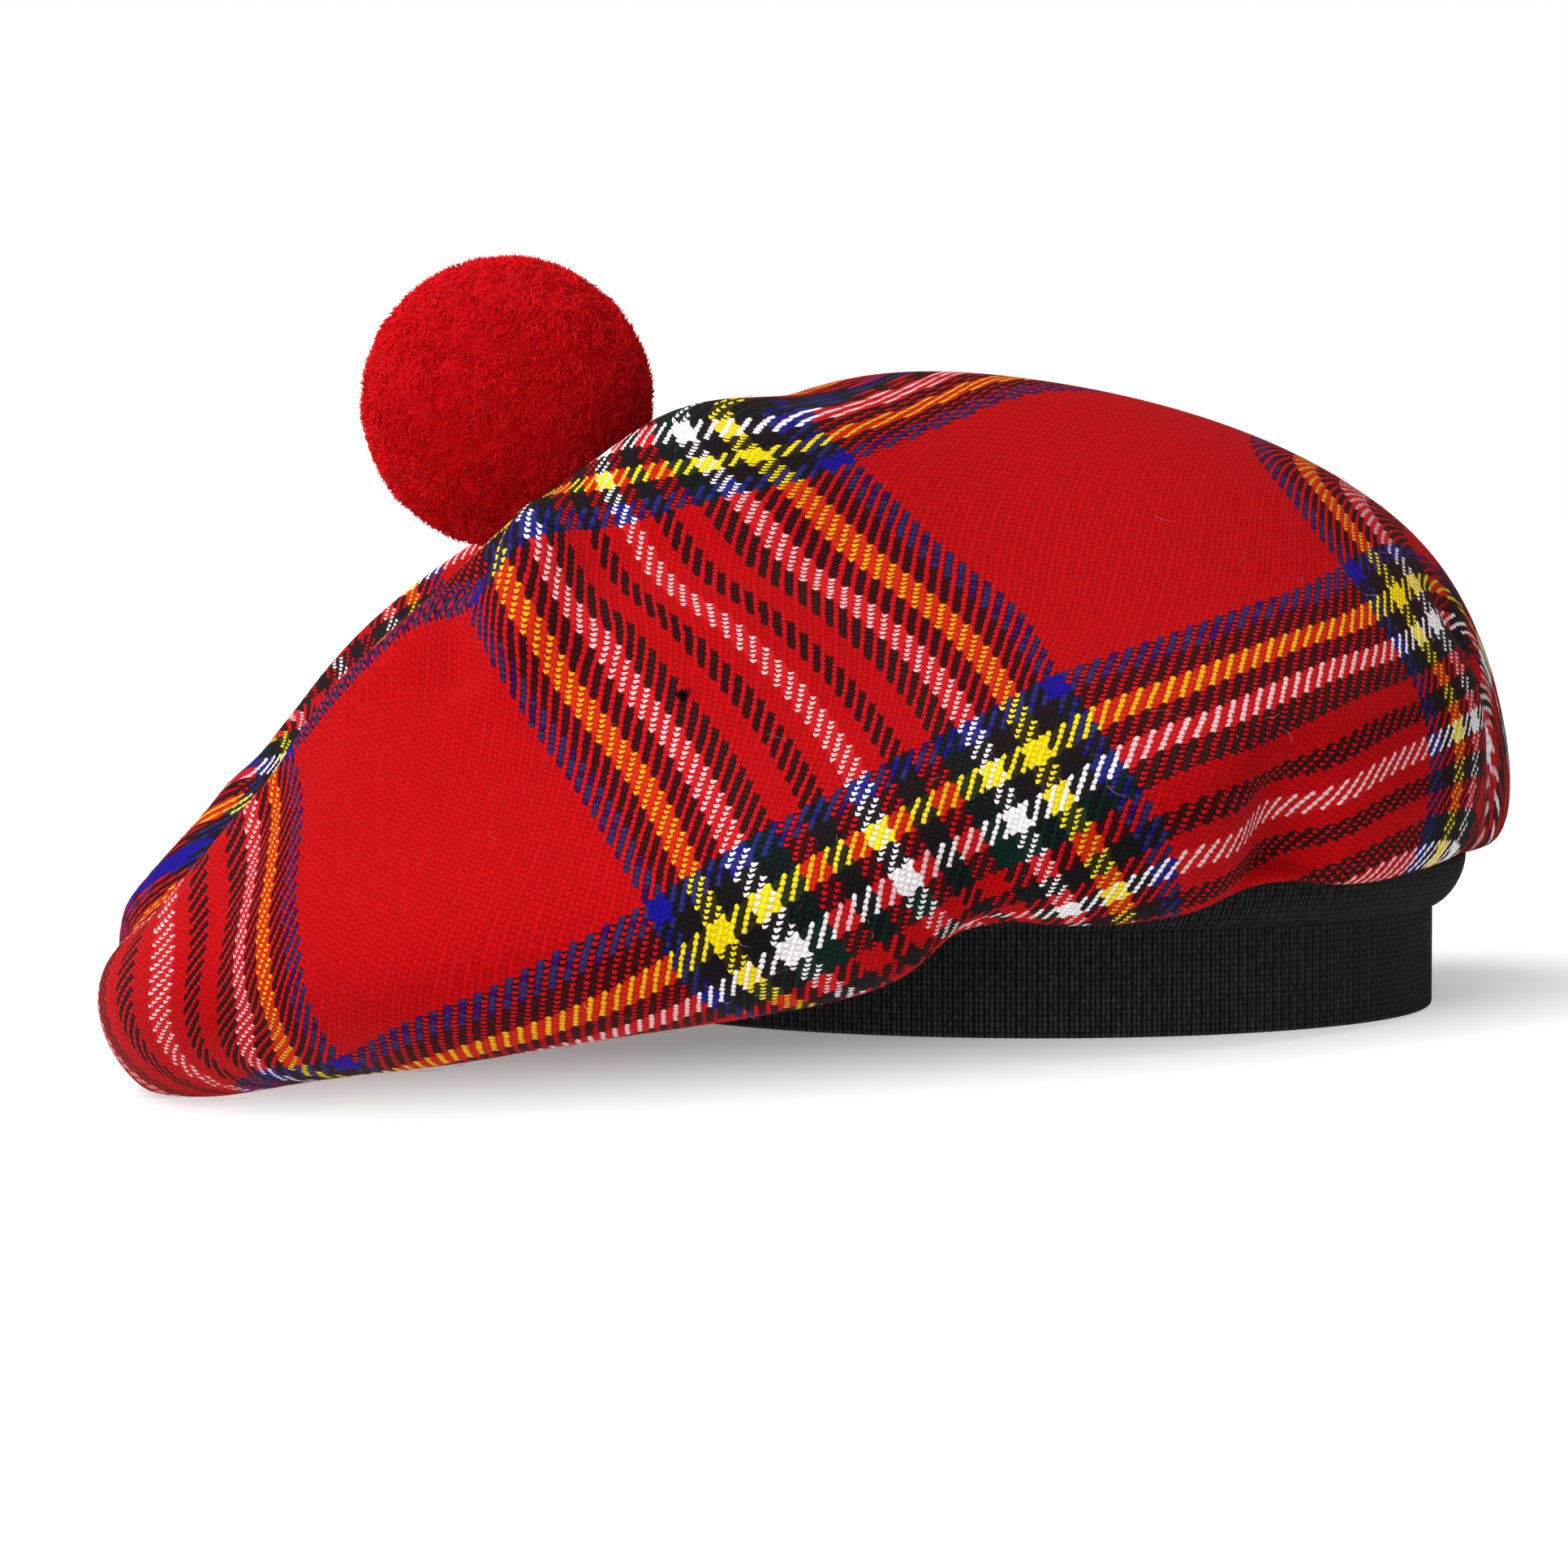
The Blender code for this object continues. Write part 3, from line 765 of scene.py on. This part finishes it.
warp_run = calc("SUBTRACT", calc("SUBTRACT", across_weft, warp), 1.0)
weft_run = calc("ADD", calc("SUBTRACT", across_warp, weft), 2.0)
unevenness = place(twill, "TexNoise", {"Vector": twill_in["Threads"], "Scale": RAGGED_GRAIN, "Detail": 2.0},
                   noise_dimensions="2D").outputs["Fac"]
swing = scaled(2 * RAGGED, unevenness, -RAGGED)
warp_bead = calc("ADD", bead(warp_run, across_warp, *WARP_BEAD), swing)
weft_bead = calc("SUBTRACT", bead(weft_run, across_weft, *WEFT_BEAD), swing)
warp_lead = calc("SUBTRACT", warp_bead, weft_bead)

# %% What the twill tells the cloth
EDGE = 0.16                            # how softly one thread takes over from the other

warp_turn, weft_turn = (calc("FLOOR", scaled(0.25, run, 0.5)) for run in (warp_run, weft_run))
float_name = blend(calc("GREATER_THAN", warp_lead, 0.0), vector(weft_turn, weft, 7.0),
                   vector(warp, warp_turn), kind="VECTOR")
chance = place(twill, "TexWhiteNoise", {"Vector": float_name}, noise_dimensions="3D")
for name, socket in (
        ("Warp On Top", remap(warp_lead, -EDGE, EDGE, kind="SMOOTHSTEP")),
        ("Warp Thread", calc("ADD", warp, 0.5)),
        ("Weft Thread", calc("ADD", weft, 0.5)),
        ("Height", calc("SQRT", calc("MAXIMUM", warp_bead, weft_bead, clamp=True))),
        ("Chance", chance.outputs["Value"])):
    twill.links.new(socket, twill_out.inputs[name])
print("twill nodes:", len(twill.nodes))

# %% [markdown]
# ## Fibre
# Wool-like yarn is never clean. Fine fibres stand off it and cross it at every angle. One group makes
# that for all three materials: a coarse and a fine layer of stretched noise, in the piece's own
# coordinates, whose scale each material sets for its own yarn.

# %% The fibre group
BROAD, BROAD_SHARE = 0.18, 0.35        # scale of the broad layer beside the fine one, and its share

fibre, fibre_in, fibre_out = group(
    "fibre", [("Place", "Vector"), ("Grain", "Float")], [("Fleck", "Float"), ("Height", "Float")])
fine = place(fibre, "TexNoise", {
    "Vector": fibre_in["Place"], "Scale": fibre_in["Grain"], "Detail": 3.0, "Roughness": 0.7,
    "Distortion": 0.6}).outputs["Fac"]
broad = place(fibre, "TexNoise", {
    "Vector": fibre_in["Place"], "Scale": times(fibre_in["Grain"], BROAD), "Detail": 2.0}).outputs["Fac"]
fibre.links.new(remap(fine, 0.3, 0.7), fibre_out.inputs["Fleck"])
fibre.links.new(blend(BROAD_SHARE, fine, broad, kind="FLOAT"), fibre_out.inputs["Height"])
print("fibre nodes:", len(fibre.nodes))

# %% Where a point lies in the cloth
WAVERS = ((0.35, 0.6), (1.1, 0.5))     # how often, in threads, and how far the yarn strays
BULGE = 0.35                           # how far each slanting rib slides along itself, in threads

tartan, weave, cloth_shader = finish("tartan_cloth", 0.95, 0.05, 0.04, 0.45, paint(255, 120, 120))
cloth_place = place(weave, "UVMap", uv_map="cloth").outputs["UV"]
in_threads = move("MULTIPLY", cloth_place, (REPEAT, REPEAT, 0))
strayed = in_threads
for often, far in WAVERS:
    waver = place(weave, "TexNoise", {"Vector": in_threads, "Scale": often}, noise_dimensions="2D")
    waver = move("SUBTRACT", waver.outputs["Color"], (0.5, 0.5, 0.5))
    strayed = move("ADD", strayed, move("MULTIPLY", waver, (far, far, 0.0)))
diagonal = times(move("DOT_PRODUCT", strayed, (-1, 1, 0)), pi / 2)
bulge = times(calc("SINE", diagonal), BULGE)
woven = use(weave, twill, {"Threads": move("ADD", strayed, vector(bulge, bulge))})
print("nodes that find the thread:", len(weave.nodes))

# %% The colour of the thread on top, and of the one below it
UNDER_TINT, UNDER_GLEAM = 0.40, 0.05   # how much a red thread below darkens and lights the one on top
GAP_FROM, GAP_TO, GAP_LEAST = 0.05, 0.55, 0.12     # where the thread below shows at a float's edge
SLATE, SLATE_SHARE, TRUE_BLUE = paint(38, 46, 84), 0.6, 0.3   # most blue floats have gone greyer

on_top = woven["Warp On Top"]
warp_sett, weft_sett = (use(weave, sett, {"Thread": woven[name]}) for name in ("Warp Thread", "Weft Thread"))
top = blend(on_top, weft_sett["Colour"], warp_sett["Colour"])
under = blend(on_top, warp_sett["Colour"], weft_sett["Colour"])
under_red, under_green, _ = place(weave, "SeparateColor", {0: under}).outputs
redness = calc("MULTIPLY", calc("SUBTRACT", under_red, under_green), 2.0, clamp=True)
tinted = blend(times(redness, UNDER_TINT), top, under, blend_type="MULTIPLY")
tinted = blend(times(redness, UNDER_GLEAM), tinted, under)
# At a float's edge the thread below shows, and the darker of the two colours is kept there: partly the real
# colour below, partly painted shade in the gap.
gap = remap(woven["Height"], GAP_FROM, GAP_TO, 1.0, GAP_LEAST)
dyed = blend(gap, tinted, under, blend_type="DARKEN")
blue_top = blend(on_top, weft_sett["Blue"], warp_sett["Blue"], kind="FLOAT")
blue_under = blend(on_top, warp_sett["Blue"], weft_sett["Blue"], kind="FLOAT")
lone_blue = calc("SUBTRACT", blue_top, blue_under, clamp=True)
dyed = blend(times(lone_blue, calc("GREATER_THAN", woven["Chance"], TRUE_BLUE), SLATE_SHARE), dyed, SLATE)

# %% Painted shade, tone and relief of the cloth
# Each float is painted darker towards its edges, as shade in the grooves between threads; the fibre flecks
# and each float's chance only vary its tone.
FLOAT_GROOVE_SHADE, FUZZ_SHADE, CHANCE_SHADE = (0.38, 0.66), (0.22, 0.89), (0.14, 0.93)   # swing, lowest
FUZZ_GRAIN, FUZZ_RELIEF = 1.6, 0.5     # fibres in a thread, and their height beside a float's
CLOTH_BUMP, CLOTH_RELIEF = 0.9, 0.12 * MM

fuzz = use(weave, fibre, {"Place": in_threads, "Grain": FUZZ_GRAIN})
cloth_tone_and_groove_shade = times(*(scaled(swing, value, lowest) for value, (swing, lowest) in (
    (woven["Height"], FLOAT_GROOVE_SHADE), (fuzz["Fleck"], FUZZ_SHADE), (woven["Chance"], CHANCE_SHADE))))
cover(cloth_shader, dyed, cloth_tone_and_groove_shade, scaled(FUZZ_RELIEF, fuzz["Height"], woven["Height"]),
      CLOTH_BUMP, CLOTH_RELIEF)

crown = add_piece("tartan_crown", cloth, tartan, "crown")
wall = crown.modifiers.new("cloth_wall", "SOLIDIFY")
wall.thickness = CLOTH_WALL
wall.offset = -1
print("tartan material nodes:", len(weave.nodes))

# %% [markdown]
# ## The headband
# The real one is a tube of fine black ribbing with elastic, folded over at its lower edge. Its ribs
# are about two millimetres wide, and they are real relief here, because the band's side is seen
# edge-on. A section is drawn as a chain of points, spun round the head, and its ribs are pressed in
# by moving the vertices. The stitches in each rib are too small for that, so they are bump: each
# stitch is two legs that lean together, and no two catch the light alike. The same stitch shape also
# paints the knit's colour, as painted shade in the gaps and painted highlight on the tops.

# %% The band's section
BAND_WALL = 3.0 * MM
BAND_ROUNDING = 0.9 * MM
FLARE_START, FLARE_POWER, FLARE_STEPS = 0.66, 0.8, 8     # as the solid's, in finer steps
BEND_STEPS = 4
RIBS = 258
STEPS_PER_RIB = 6
RIB_DEPTH = 0.16 * MM
COURSE = 1.08 * MM           # from one row of stitches to the next


def band_section():
    """Radius and height, down the outside, round the folded edge and up the inside."""
    straight_top = BAND_HEIGHT * FLARE_START
    turns = [k * pi / 2 / FLARE_STEPS for k in range(FLARE_STEPS + 1)]
    flare_height = BAND_HEIGHT - straight_top
    outside = [(BAND_RADIUS + BAND_FLARE * cos(turn),
                straight_top + flare_height * (1 - sin(turn)) ** FLARE_POWER) for turn in turns]
    inside = [(radius - BAND_WALL, height) for radius, height in reversed(outside)]
    bends = [k * pi / 2 / BEND_STEPS for k in range(BEND_STEPS + 1)]
    outer_bend = [(BAND_RADIUS - BAND_ROUNDING * (1 - cos(bend)),
                   BAND_ROUNDING * (1 - sin(bend))) for bend in bends]
    middle = BAND_RADIUS - BAND_WALL / 2
    inner_bend = [(2 * middle - radius, height) for radius, height in reversed(outer_bend)]
    return outside + outer_bend + inner_bend + inside


band = bmesh.new()
section = [band.verts.new((radius, 0, height)) for radius, height in band_section()]
outline = [band.edges.new(pair) for pair in zip(section, section[1:] + section[:1])]
bmesh.ops.spin(band, geom=section + outline, cent=(0, 0, 0), axis=(0, 0, 1), angle=2 * pi,
               steps=RIBS * STEPS_PER_RIB, use_merge=True)
bmesh.ops.remove_doubles(band, verts=band.verts, dist=0.01 * MM)
bmesh.ops.recalc_face_normals(band, faces=band.faces)
knit_uv = band.loops.layers.uv.new("knit")
for face in band.faces:
    middle_turn = atan2(*face.calc_center_median().yx)
    for loop in face.loops:
        turn = atan2(loop.vert.co.y, loop.vert.co.x)
        turn += 2 * pi * round((middle_turn - turn) / (2 * pi))
        loop[knit_uv].uv = (turn / (2 * pi) * RIBS, loop.vert.co.z / COURSE)
for vertex in band.verts:
    turn = atan2(vertex.co.y, vertex.co.x)
    outside = 1 if vertex.co.xy.length > BAND_RADIUS - BAND_WALL / 2 else -1
    rib = RIB_DEPTH * (cos(RIBS * turn) - 1) / 2 * outside
    vertex.co.xy *= 1 + rib / vertex.co.xy.length
print("band faces:", len(band.faces))

# %% The knit's material
LEG_SHARPNESS, KNIT_SHADE_CONTRAST = 0.7, 1.3
LINT_STRETCH, LINT_GRAIN, LINT_RELIEF = (2.6, 0.7, 0), 1.6, 0.4
KNIT_GAP_SHADE, KNIT_TOP_HIGHLIGHT = paint(0, 0, 0), paint(48, 48, 50)
KNIT_BUMP, KNIT_RELIEF = 1.0, 0.30 * MM

knit, stitches, knit_shader = finish("black_knit", 0.9, 0.08, 0.015, 0.4, paint(200, 200, 205))
knit_place = place(stitches, "UVMap", uv_map="knit").outputs["UV"]
rib_count, row_count, _ = place(stitches, "SeparateXYZ", {0: knit_place}).outputs
legs, rib_hump, row_hump = (calc("ABSOLUTE", calc("SINE", times(counted, turn)))
                            for counted, turn in ((rib_count, 2 * pi), (rib_count, pi), (row_count, pi)))
stitch = times(calc("POWER", legs, LEG_SHARPNESS), scaled(0.5, row_hump, 0.5), scaled(0.6, rib_hump, 0.4))
stitch_name = vector(calc("FLOOR", times(rib_count, 2.0)), calc("FLOOR", row_count))
stitch_chance = place(stitches, "TexWhiteNoise", {"Vector": stitch_name}, noise_dimensions="2D")
knit_lint = use(stitches, fibre, {"Place": move("MULTIPLY", knit_place, LINT_STRETCH), "Grain": LINT_GRAIN})
# The knit's colour is painted shade and painted highlight: black in the gaps between legs, rows and ribs,
# lightest on each stitch's top, and varied at random by stitch and by lint.
stitch_shade_and_tone = times(stitch, scaled(1.0, knit_lint["Fleck"], 0.5), scaled(0.5, stitch_chance.outputs["Value"], 0.75))
cover(knit_shader, blend(calc("POWER", stitch_shade_and_tone, KNIT_SHADE_CONTRAST), KNIT_GAP_SHADE, KNIT_TOP_HIGHLIGHT), None,
      scaled(LINT_RELIEF, knit_lint["Height"], stitch), KNIT_BUMP, KNIT_RELIEF)
headband = add_piece("knitted_headband", band, knit, "headband")
print("knit material nodes:", len(stitches.nodes))

# %% [markdown]
# ## The pompom
# A pompom is hundreds of yarn strands tied in the middle and clipped to a ball. What shows is the
# outermost few millimetres: short blunt yarn ends that lie over each other at every slant, bunched
# into tufts with furrows between them. The furrows, the ends' roots and the ball under them are
# painted darker, as shade deep in the pile. Hair particles would do, but they are not a mesh. So
# one three-sided yarn end is made once, and set down many thousand times on a furrowed ball. The
# ends of a tuft lean the same way, are clipped to about the same height, and share a shade.

# %% One yarn end
YARN_THICK = 0.19 * MM
YARN_BELLY = 0.55            # where along its length the yarn end is thickest

pattern = bmesh.new()
bmesh.ops.create_cone(pattern, segments=3, radius1=0.7, radius2=0.45, depth=1, cap_ends=True)
bmesh.ops.translate(pattern, verts=pattern.verts, vec=(0, 0, 0.5))
long_edges = [edge for edge in pattern.edges if abs(edge.verts[0].co.z - edge.verts[1].co.z) > 0.5]
bmesh.ops.subdivide_edges(pattern, edges=long_edges, cuts=1)
for vertex in pattern.verts:
    if 0.1 < vertex.co.z < 0.9:
        vertex.co = (*vertex.co.xy.normalized(), YARN_BELLY)
bmesh.ops.recalc_face_normals(pattern, faces=pattern.faces)
pattern.verts.index_update()
pattern_spots = np.array([vertex.co for vertex in pattern.verts])
pattern_faces = [[vertex.index for vertex in face.verts] for face in pattern.faces]
pattern.free()
print("faces of one yarn end:", len(pattern_faces))


# %% Many copies as one mesh
def unit(directions):
    """The same directions, each one long."""
    return directions / np.maximum(np.linalg.norm(directions, axis=1, keepdims=True), 1e-12)


def strew(name, roots, directions, leans, thickness, shades):
    """One mesh of many yarn ends: each starts at its root, runs its direction and bends by its lean."""
    side = unit(np.cross(directions, leans))
    front = unit(np.cross(directions, side))
    run = pattern_spots[:, 2]
    ways = np.stack([side * thickness[:, None], front * thickness[:, None], directions, leans], axis=1)
    points = roots[:, None] + np.einsum("pw,nwx->npx", np.column_stack([pattern_spots, run ** 2]), ways)
    count, size = points.shape[:2]
    sides = np.array([len(face) for face in pattern_faces])
    firsts = np.cumsum(sides) - sides
    copies = np.arange(count)[:, None]
    mesh = bpy.data.meshes.new(name)
    mesh.vertices.add(count * size)
    mesh.vertices.foreach_set("co", points.ravel())
    mesh.loops.add(count * int(sides.sum()))
    mesh.loops.foreach_set("vertex_index", (np.concatenate(pattern_faces) + size * copies).ravel())
    mesh.polygons.add(count * len(sides))
    mesh.polygons.foreach_set("loop_start", (firsts + sides.sum() * copies).ravel())
    mesh.update(calc_edges=True)
    for attribute, values in (("shade", np.repeat(shades, size)), ("along", np.tile(run, count))):
        mesh.attributes.new(attribute, "FLOAT", "POINT").data.foreach_set("value", values)
    return mesh


# %% The yarn's material
YARN_DARK, YARN_LIGHT = paint(192, 4, 12), paint(240, 16, 30)
YARN_ROOT_SHADE, YARN_LINT_SHADE = (0.30, 0.70), (0.25, 0.85)      # swing from root to tip, lowest
YARN_LINT_GRAIN = 2600.0
YARN_BUMP, YARN_RELIEF = 0.5, 0.1 * MM

yarn, strands, yarn_shader = finish("red_yarn", 0.9, 0.05, 0.06, 0.4, paint(255, 110, 110))
yarn_place = place(strands, "TexCoord").outputs["Object"]
yarn_lint = use(strands, fibre, {"Place": yarn_place, "Grain": YARN_LINT_GRAIN})
# Each yarn end is painted darker towards its root, as shade deep in the pile; the lint only varies its tone.
yarn_tone_and_root_shade = times(*(scaled(swing, value, lowest) for value, (swing, lowest) in (
    (point_mark(strands, "along"), YARN_ROOT_SHADE), (yarn_lint["Fleck"], YARN_LINT_SHADE))))
cover(yarn_shader, blend(point_mark(strands, "shade"), YARN_DARK, YARN_LIGHT), yarn_tone_and_root_shade,
      yarn_lint["Height"], YARN_BUMP, YARN_RELIEF)
print("yarn material nodes:", len(strands.nodes))

# %% The tufts of the ball
pompom_low, pompom_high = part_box("pompom")
ball_centre = np.array(REST.inverted() @ ((pompom_low + pompom_high) / 2))
ball_radius = float(max(pompom_high - pompom_low)) / 2
TUFTS = 420                  # bunches of yarn that lean the same way
TUFT_RISE = 0.006            # how much higher or lower a bunch is cut, as a share of the radius
FURROW_WIDTH, FURROW_DEPTH = 0.022, 0.5 * MM

rng = np.random.default_rng(11)


def on_ball(count, disturbed):
    """Evenly spread directions, in a random order and a little disturbed."""
    k = rng.permutation(count) + 0.5
    level = 1 - 2 * k / count
    turn = pi * (1 + 5 ** 0.5) * k
    spread = np.sqrt(1 - level ** 2)
    directions = np.stack([spread * np.cos(turn), spread * np.sin(turn), level], axis=-1)
    return unit(directions + rng.normal(0, disturbed, directions.shape))


tufts = on_ball(TUFTS, 0.03)
tuft_lean = rng.normal(size=tufts.shape)
tuft_rise = rng.uniform(-1, 1, TUFTS)
tuft_shade = rng.uniform(-1, 1, TUFTS)


def tuft_of(directions):
    """The nearest tuft of each direction, and how deep it lies in the furrow beside the next one."""
    closeness = directions @ tufts.T
    best_two = np.arccos(np.clip(np.partition(closeness, -2, axis=1)[:, -2:], -1, 1))
    return closeness.argmax(axis=1), np.exp(-((best_two[:, 0] - best_two[:, 1]) / FURROW_WIDTH) ** 2)


print("pompom radius in mm:", round(ball_radius / MM, 1), "tufts:", TUFTS)

# %% The ball under the loose ends
HEART_SHARE = 0.972          # its radius, as a share of the pompom's

heart = bmesh.new()
bmesh.ops.create_icosphere(heart, subdivisions=6, radius=ball_radius * HEART_SHARE)
heart_furrows = tuft_of(np.array([vertex.co.normalized() for vertex in heart.verts]))[1]
for vertex, drop in zip(heart.verts, heart_furrows * FURROW_DEPTH):
    vertex.co *= 1 - drop / vertex.co.length
bmesh.ops.translate(heart, verts=heart.verts, vec=ball_centre)
print("heart faces:", len(heart.faces))
# The heart carries no marks, so the yarn's material paints it in its darkest colour and deepest root shade:
# painted shade under the yarn ends.
add_piece("pompom_heart", heart, yarn, "pompom")

# %% Two layers of yarn ends
YARN_ENDS = 13500            # in each layer
YARN_LAYERS = (
    # layer, where the ends start, lowest and highest tip (shares of the radius), least and most lean in mm
    ("under", 0.955, 0.972, 0.995, 0.7, 1.8),
    ("outer", 0.965, 0.985, 1.006, 0.7, 2.1),
)
for layer, root_share, tip_low, tip_high, lie_low, lie_high in YARN_LAYERS:
    outwards = on_ball(YARN_ENDS, 0.012)
    tuft, furrow = tuft_of(outwards)
    sideways = unit(np.cross(outwards, tuft_lean[tuft] + rng.normal(0, 1.0, outwards.shape)))
    lie = rng.uniform(lie_low, lie_high, YARN_ENDS) * MM
    tip = ball_radius * (rng.uniform(tip_low, tip_high, YARN_ENDS) + TUFT_RISE * tuft_rise[tuft])
    tip -= furrow * FURROW_DEPTH
    root = ball_radius * root_share - furrow * FURROW_DEPTH
    reach = np.sqrt(tip ** 2 - lie ** 2) - root
    # Each end's tone is random and follows its tuft; in the furrows between tufts it is painted darker, as
    # shade.
    shades = np.clip(rng.beta(2.2, 2.6, YARN_ENDS) + 0.22 * tuft_shade[tuft] - 0.5 * furrow, 0, 1)
    layer_mesh = strew("pompom_yarn_" + layer, ball_centre + outwards * root[:, None],
                       outwards * reach[:, None] + sideways * lie[:, None] * 0.55,
                       sideways * lie[:, None] * 0.45,
                       YARN_THICK * rng.uniform(0.7, 1.2, YARN_ENDS), shades)
    add_piece("pompom_yarn_" + layer, layer_mesh, yarn, "pompom")
print("yarn ends:", YARN_ENDS * len(YARN_LAYERS))

# %% [markdown]
# ## Loose fibres
# Brushed cloth sheds. A few hundred fibres stand off it, most of them where the cloth rubs along its
# lower fold, and one dark fleck of fluff sits on the front. They are as thin as a hair, so they only
# show against the black band, but they take away the look of a printed surface. The yarn end made
# for the pompom serves again, much thinner, and grows from the cloth's own points.

# %% Fibres on the cloth
LOOSE = 320
LOOSE_THICK = 0.045 * MM
LOOSE_SHORTEST, LOOSE_LONGEST = 0.8 * MM, 3.0 * MM
AT_HEM, HEM_SHARE, HEM_SPREAD = 0.8, 0.70, 0.05    # how many are at the hem, where it is, how widely
CLEAR_OF_BAND = 0.78                               # share of the way from tie to seam

loose, hairs, hair_shader = finish("loose_fibre", 0.9, 0.1, 0.1, 0.4, paint(255, 200, 190))
cover(hair_shader, blend(point_mark(hairs, "shade"), paint(120, 14, 18), paint(214, 190, 180)))
cloth_points = crown_points(CROWN_AROUND, CROWN_ALONG)
at_hem = rng.random(LOOSE) < AT_HEM
way_along = np.where(at_hem, rng.normal(HEM_SHARE, HEM_SPREAD, LOOSE), rng.uniform(0.1, 0.8, LOOSE))
way_along = np.clip(way_along * CROWN_ALONG, 2, CROWN_ALONG * CLEAR_OF_BAND).astype(int)
way_around = rng.integers(0, CROWN_AROUND, LOOSE)
lift = outward(cloth_points)[way_along, way_around]
stray = np.cross(lift, rng.normal(size=lift.shape))
hair = rng.uniform(LOOSE_SHORTEST / MM, LOOSE_LONGEST / MM, LOOSE)[:, None] * MM
hair_mesh = strew("loose_fibres", cloth_points[way_along, way_around],
                  (lift * 0.35 + stray * 0.8) * hair, (np.cross(lift, stray) * 0.7 - lift * 0.2) * hair,
                  np.full(LOOSE, LOOSE_THICK), rng.beta(0.7, 1.0, LOOSE) * np.where(at_hem, 1.0, 0.3))
add_piece("loose_fibres", hair_mesh, loose, "crown")
print("loose fibres:", LOOSE)

# %% The dark fleck
FLECK_PIXEL = (841, 858)
FLECK_ENDS, FLECK_THICK, FLECK_SPREAD, FLECK_LENGTH = 70, 0.16 * MM, 0.42, 0.5

fleck_corners, fleck_shares, _ = on_cloth(*FLECK_PIXEL)
fleck, _, fluff_shader = finish("dark_fleck", 0.9, 0.05, 0.0, 0.4, paint(255, 255, 255))
fluff_shader.inputs["Base Color"].default_value = paint(16, 12, 14)
fleck_roots, fleck_ways, fleck_leans = (
    rng.normal(0, size, (FLECK_ENDS, 3)) * MM for size in (FLECK_SPREAD, FLECK_LENGTH, FLECK_LENGTH))
fleck_mesh = strew("dark_fleck", fleck_shares @ spots[fleck_corners] * MM + fleck_roots, fleck_ways,
                   fleck_leans, np.full(FLECK_ENDS, FLECK_THICK), np.zeros(FLECK_ENDS))
add_piece("dark_fleck", fleck_mesh, fleck, "crown")
print("ends in the fleck:", FLECK_ENDS)

# %% [markdown]
# ## Ground and light
# The photograph shows the hat cut out on white, with a soft shadow under it that fades away. A white
# floor would turn grey in the light, so the floor has two surfaces: close to the hat it takes
# shadows, and farther off it only glows as white as the background. Which one shows is set by the
# place on the floor, so the shadows are real but the pool that holds them is a painted shape. One
# large soft light from the upper left makes the hat's shading, and two weak ones fill the front and
# the top.

# %% Floor
FLOOR_TONE, FLOOR_GLOW, FAR_GLOW = 0.82, 0.26, 1.1
SHADOW_CENTRE, SHADOW_SQUEEZE = (0.01, 0.06, 0.0), (0.55, 1.0, 0.0)
FADE_FROM, FADE_TO = 0.04, 0.22
WHITE = (1, 1, 1, 1)

floor_material = bpy.data.materials.new("pale_floor")
floor_material.use_nodes = True
ground = floor_material.node_tree
ground.nodes.remove(ground.nodes["Principled BSDF"])
dull = place(ground, "BsdfDiffuse", {"Color": (FLOOR_TONE, FLOOR_TONE, FLOOR_TONE, 1)}).outputs[0]
near_glow, far_floor = (place(ground, "Emission", {"Color": WHITE, "Strength": strength}).outputs[0]
                        for strength in (FLOOR_GLOW, FAR_GLOW))
near_floor = place(ground, "AddShader", {0: dull, 1: near_glow}).outputs[0]
# The floor keeps its shadows only inside a squeezed ring round a point just behind the hat's middle and fades
# to glow beyond it: a painted outline for the shadow pool.
from_centre = move("SUBTRACT", place(ground, "TexCoord").outputs["Object"], SHADOW_CENTRE)
from_centre = move("LENGTH", move("MULTIPLY", from_centre, SHADOW_SQUEEZE))
shadow_pool_fade = remap(from_centre, FADE_FROM, FADE_TO, kind="SMOOTHSTEP")
whole_floor = place(ground, "MixShader", {0: shadow_pool_fade, 1: near_floor, 2: far_floor}).outputs[0]
ground.links.new(whole_floor, ground.nodes["Material Output"].inputs["Surface"])
floor_shape = bmesh.new()
bmesh.ops.create_circle(floor_shape, cap_ends=True, segments=96, radius=6.0)
add_object("floor", add_mesh("floor", floor_shape, floor_material))
print("floor nodes:", len(ground.nodes))

# %% Light
SKY = 0.28                   # light from all round; the camera sees it as plain white
AIM = Vector((0, 0, 0.05))
SOFTBOXES = (
    # name, x, y, z of its middle, side, watts
    ("key_light", -0.85, -0.15, 1.45, 1.5, 34.0),
    ("front_light", -0.60, -1.45, 0.45, 1.2, 18.0),
    ("top_light", 0.25, 0.20, 1.60, 1.4, 5.0),
)
scene.world = bpy.data.worlds.new("studio")
scene.world.use_nodes = True
sky = scene.world.node_tree
background = sky.nodes["Background"].inputs
background["Color"].default_value = WHITE
sky.links.new(blend(place(sky, "LightPath").outputs["Is Camera Ray"], SKY, 1.0, kind="FLOAT"),
              background["Strength"])
for name, x, y, z, side_length, watts in SOFTBOXES:
    light = add_object(name, bpy.data.lights.new(name, "AREA"))
    light.data.shape = "SQUARE"
    light.data.size = side_length
    light.data.energy = watts
    turn = (AIM - Vector((x, y, z))).to_track_quat("-Z", "Y").to_matrix().to_4x4()
    light.matrix_world = Matrix.Translation((x, y, z)) @ turn
scene.view_settings.view_transform = "Standard"
print("lights:", [row[0] for row in SOFTBOXES])
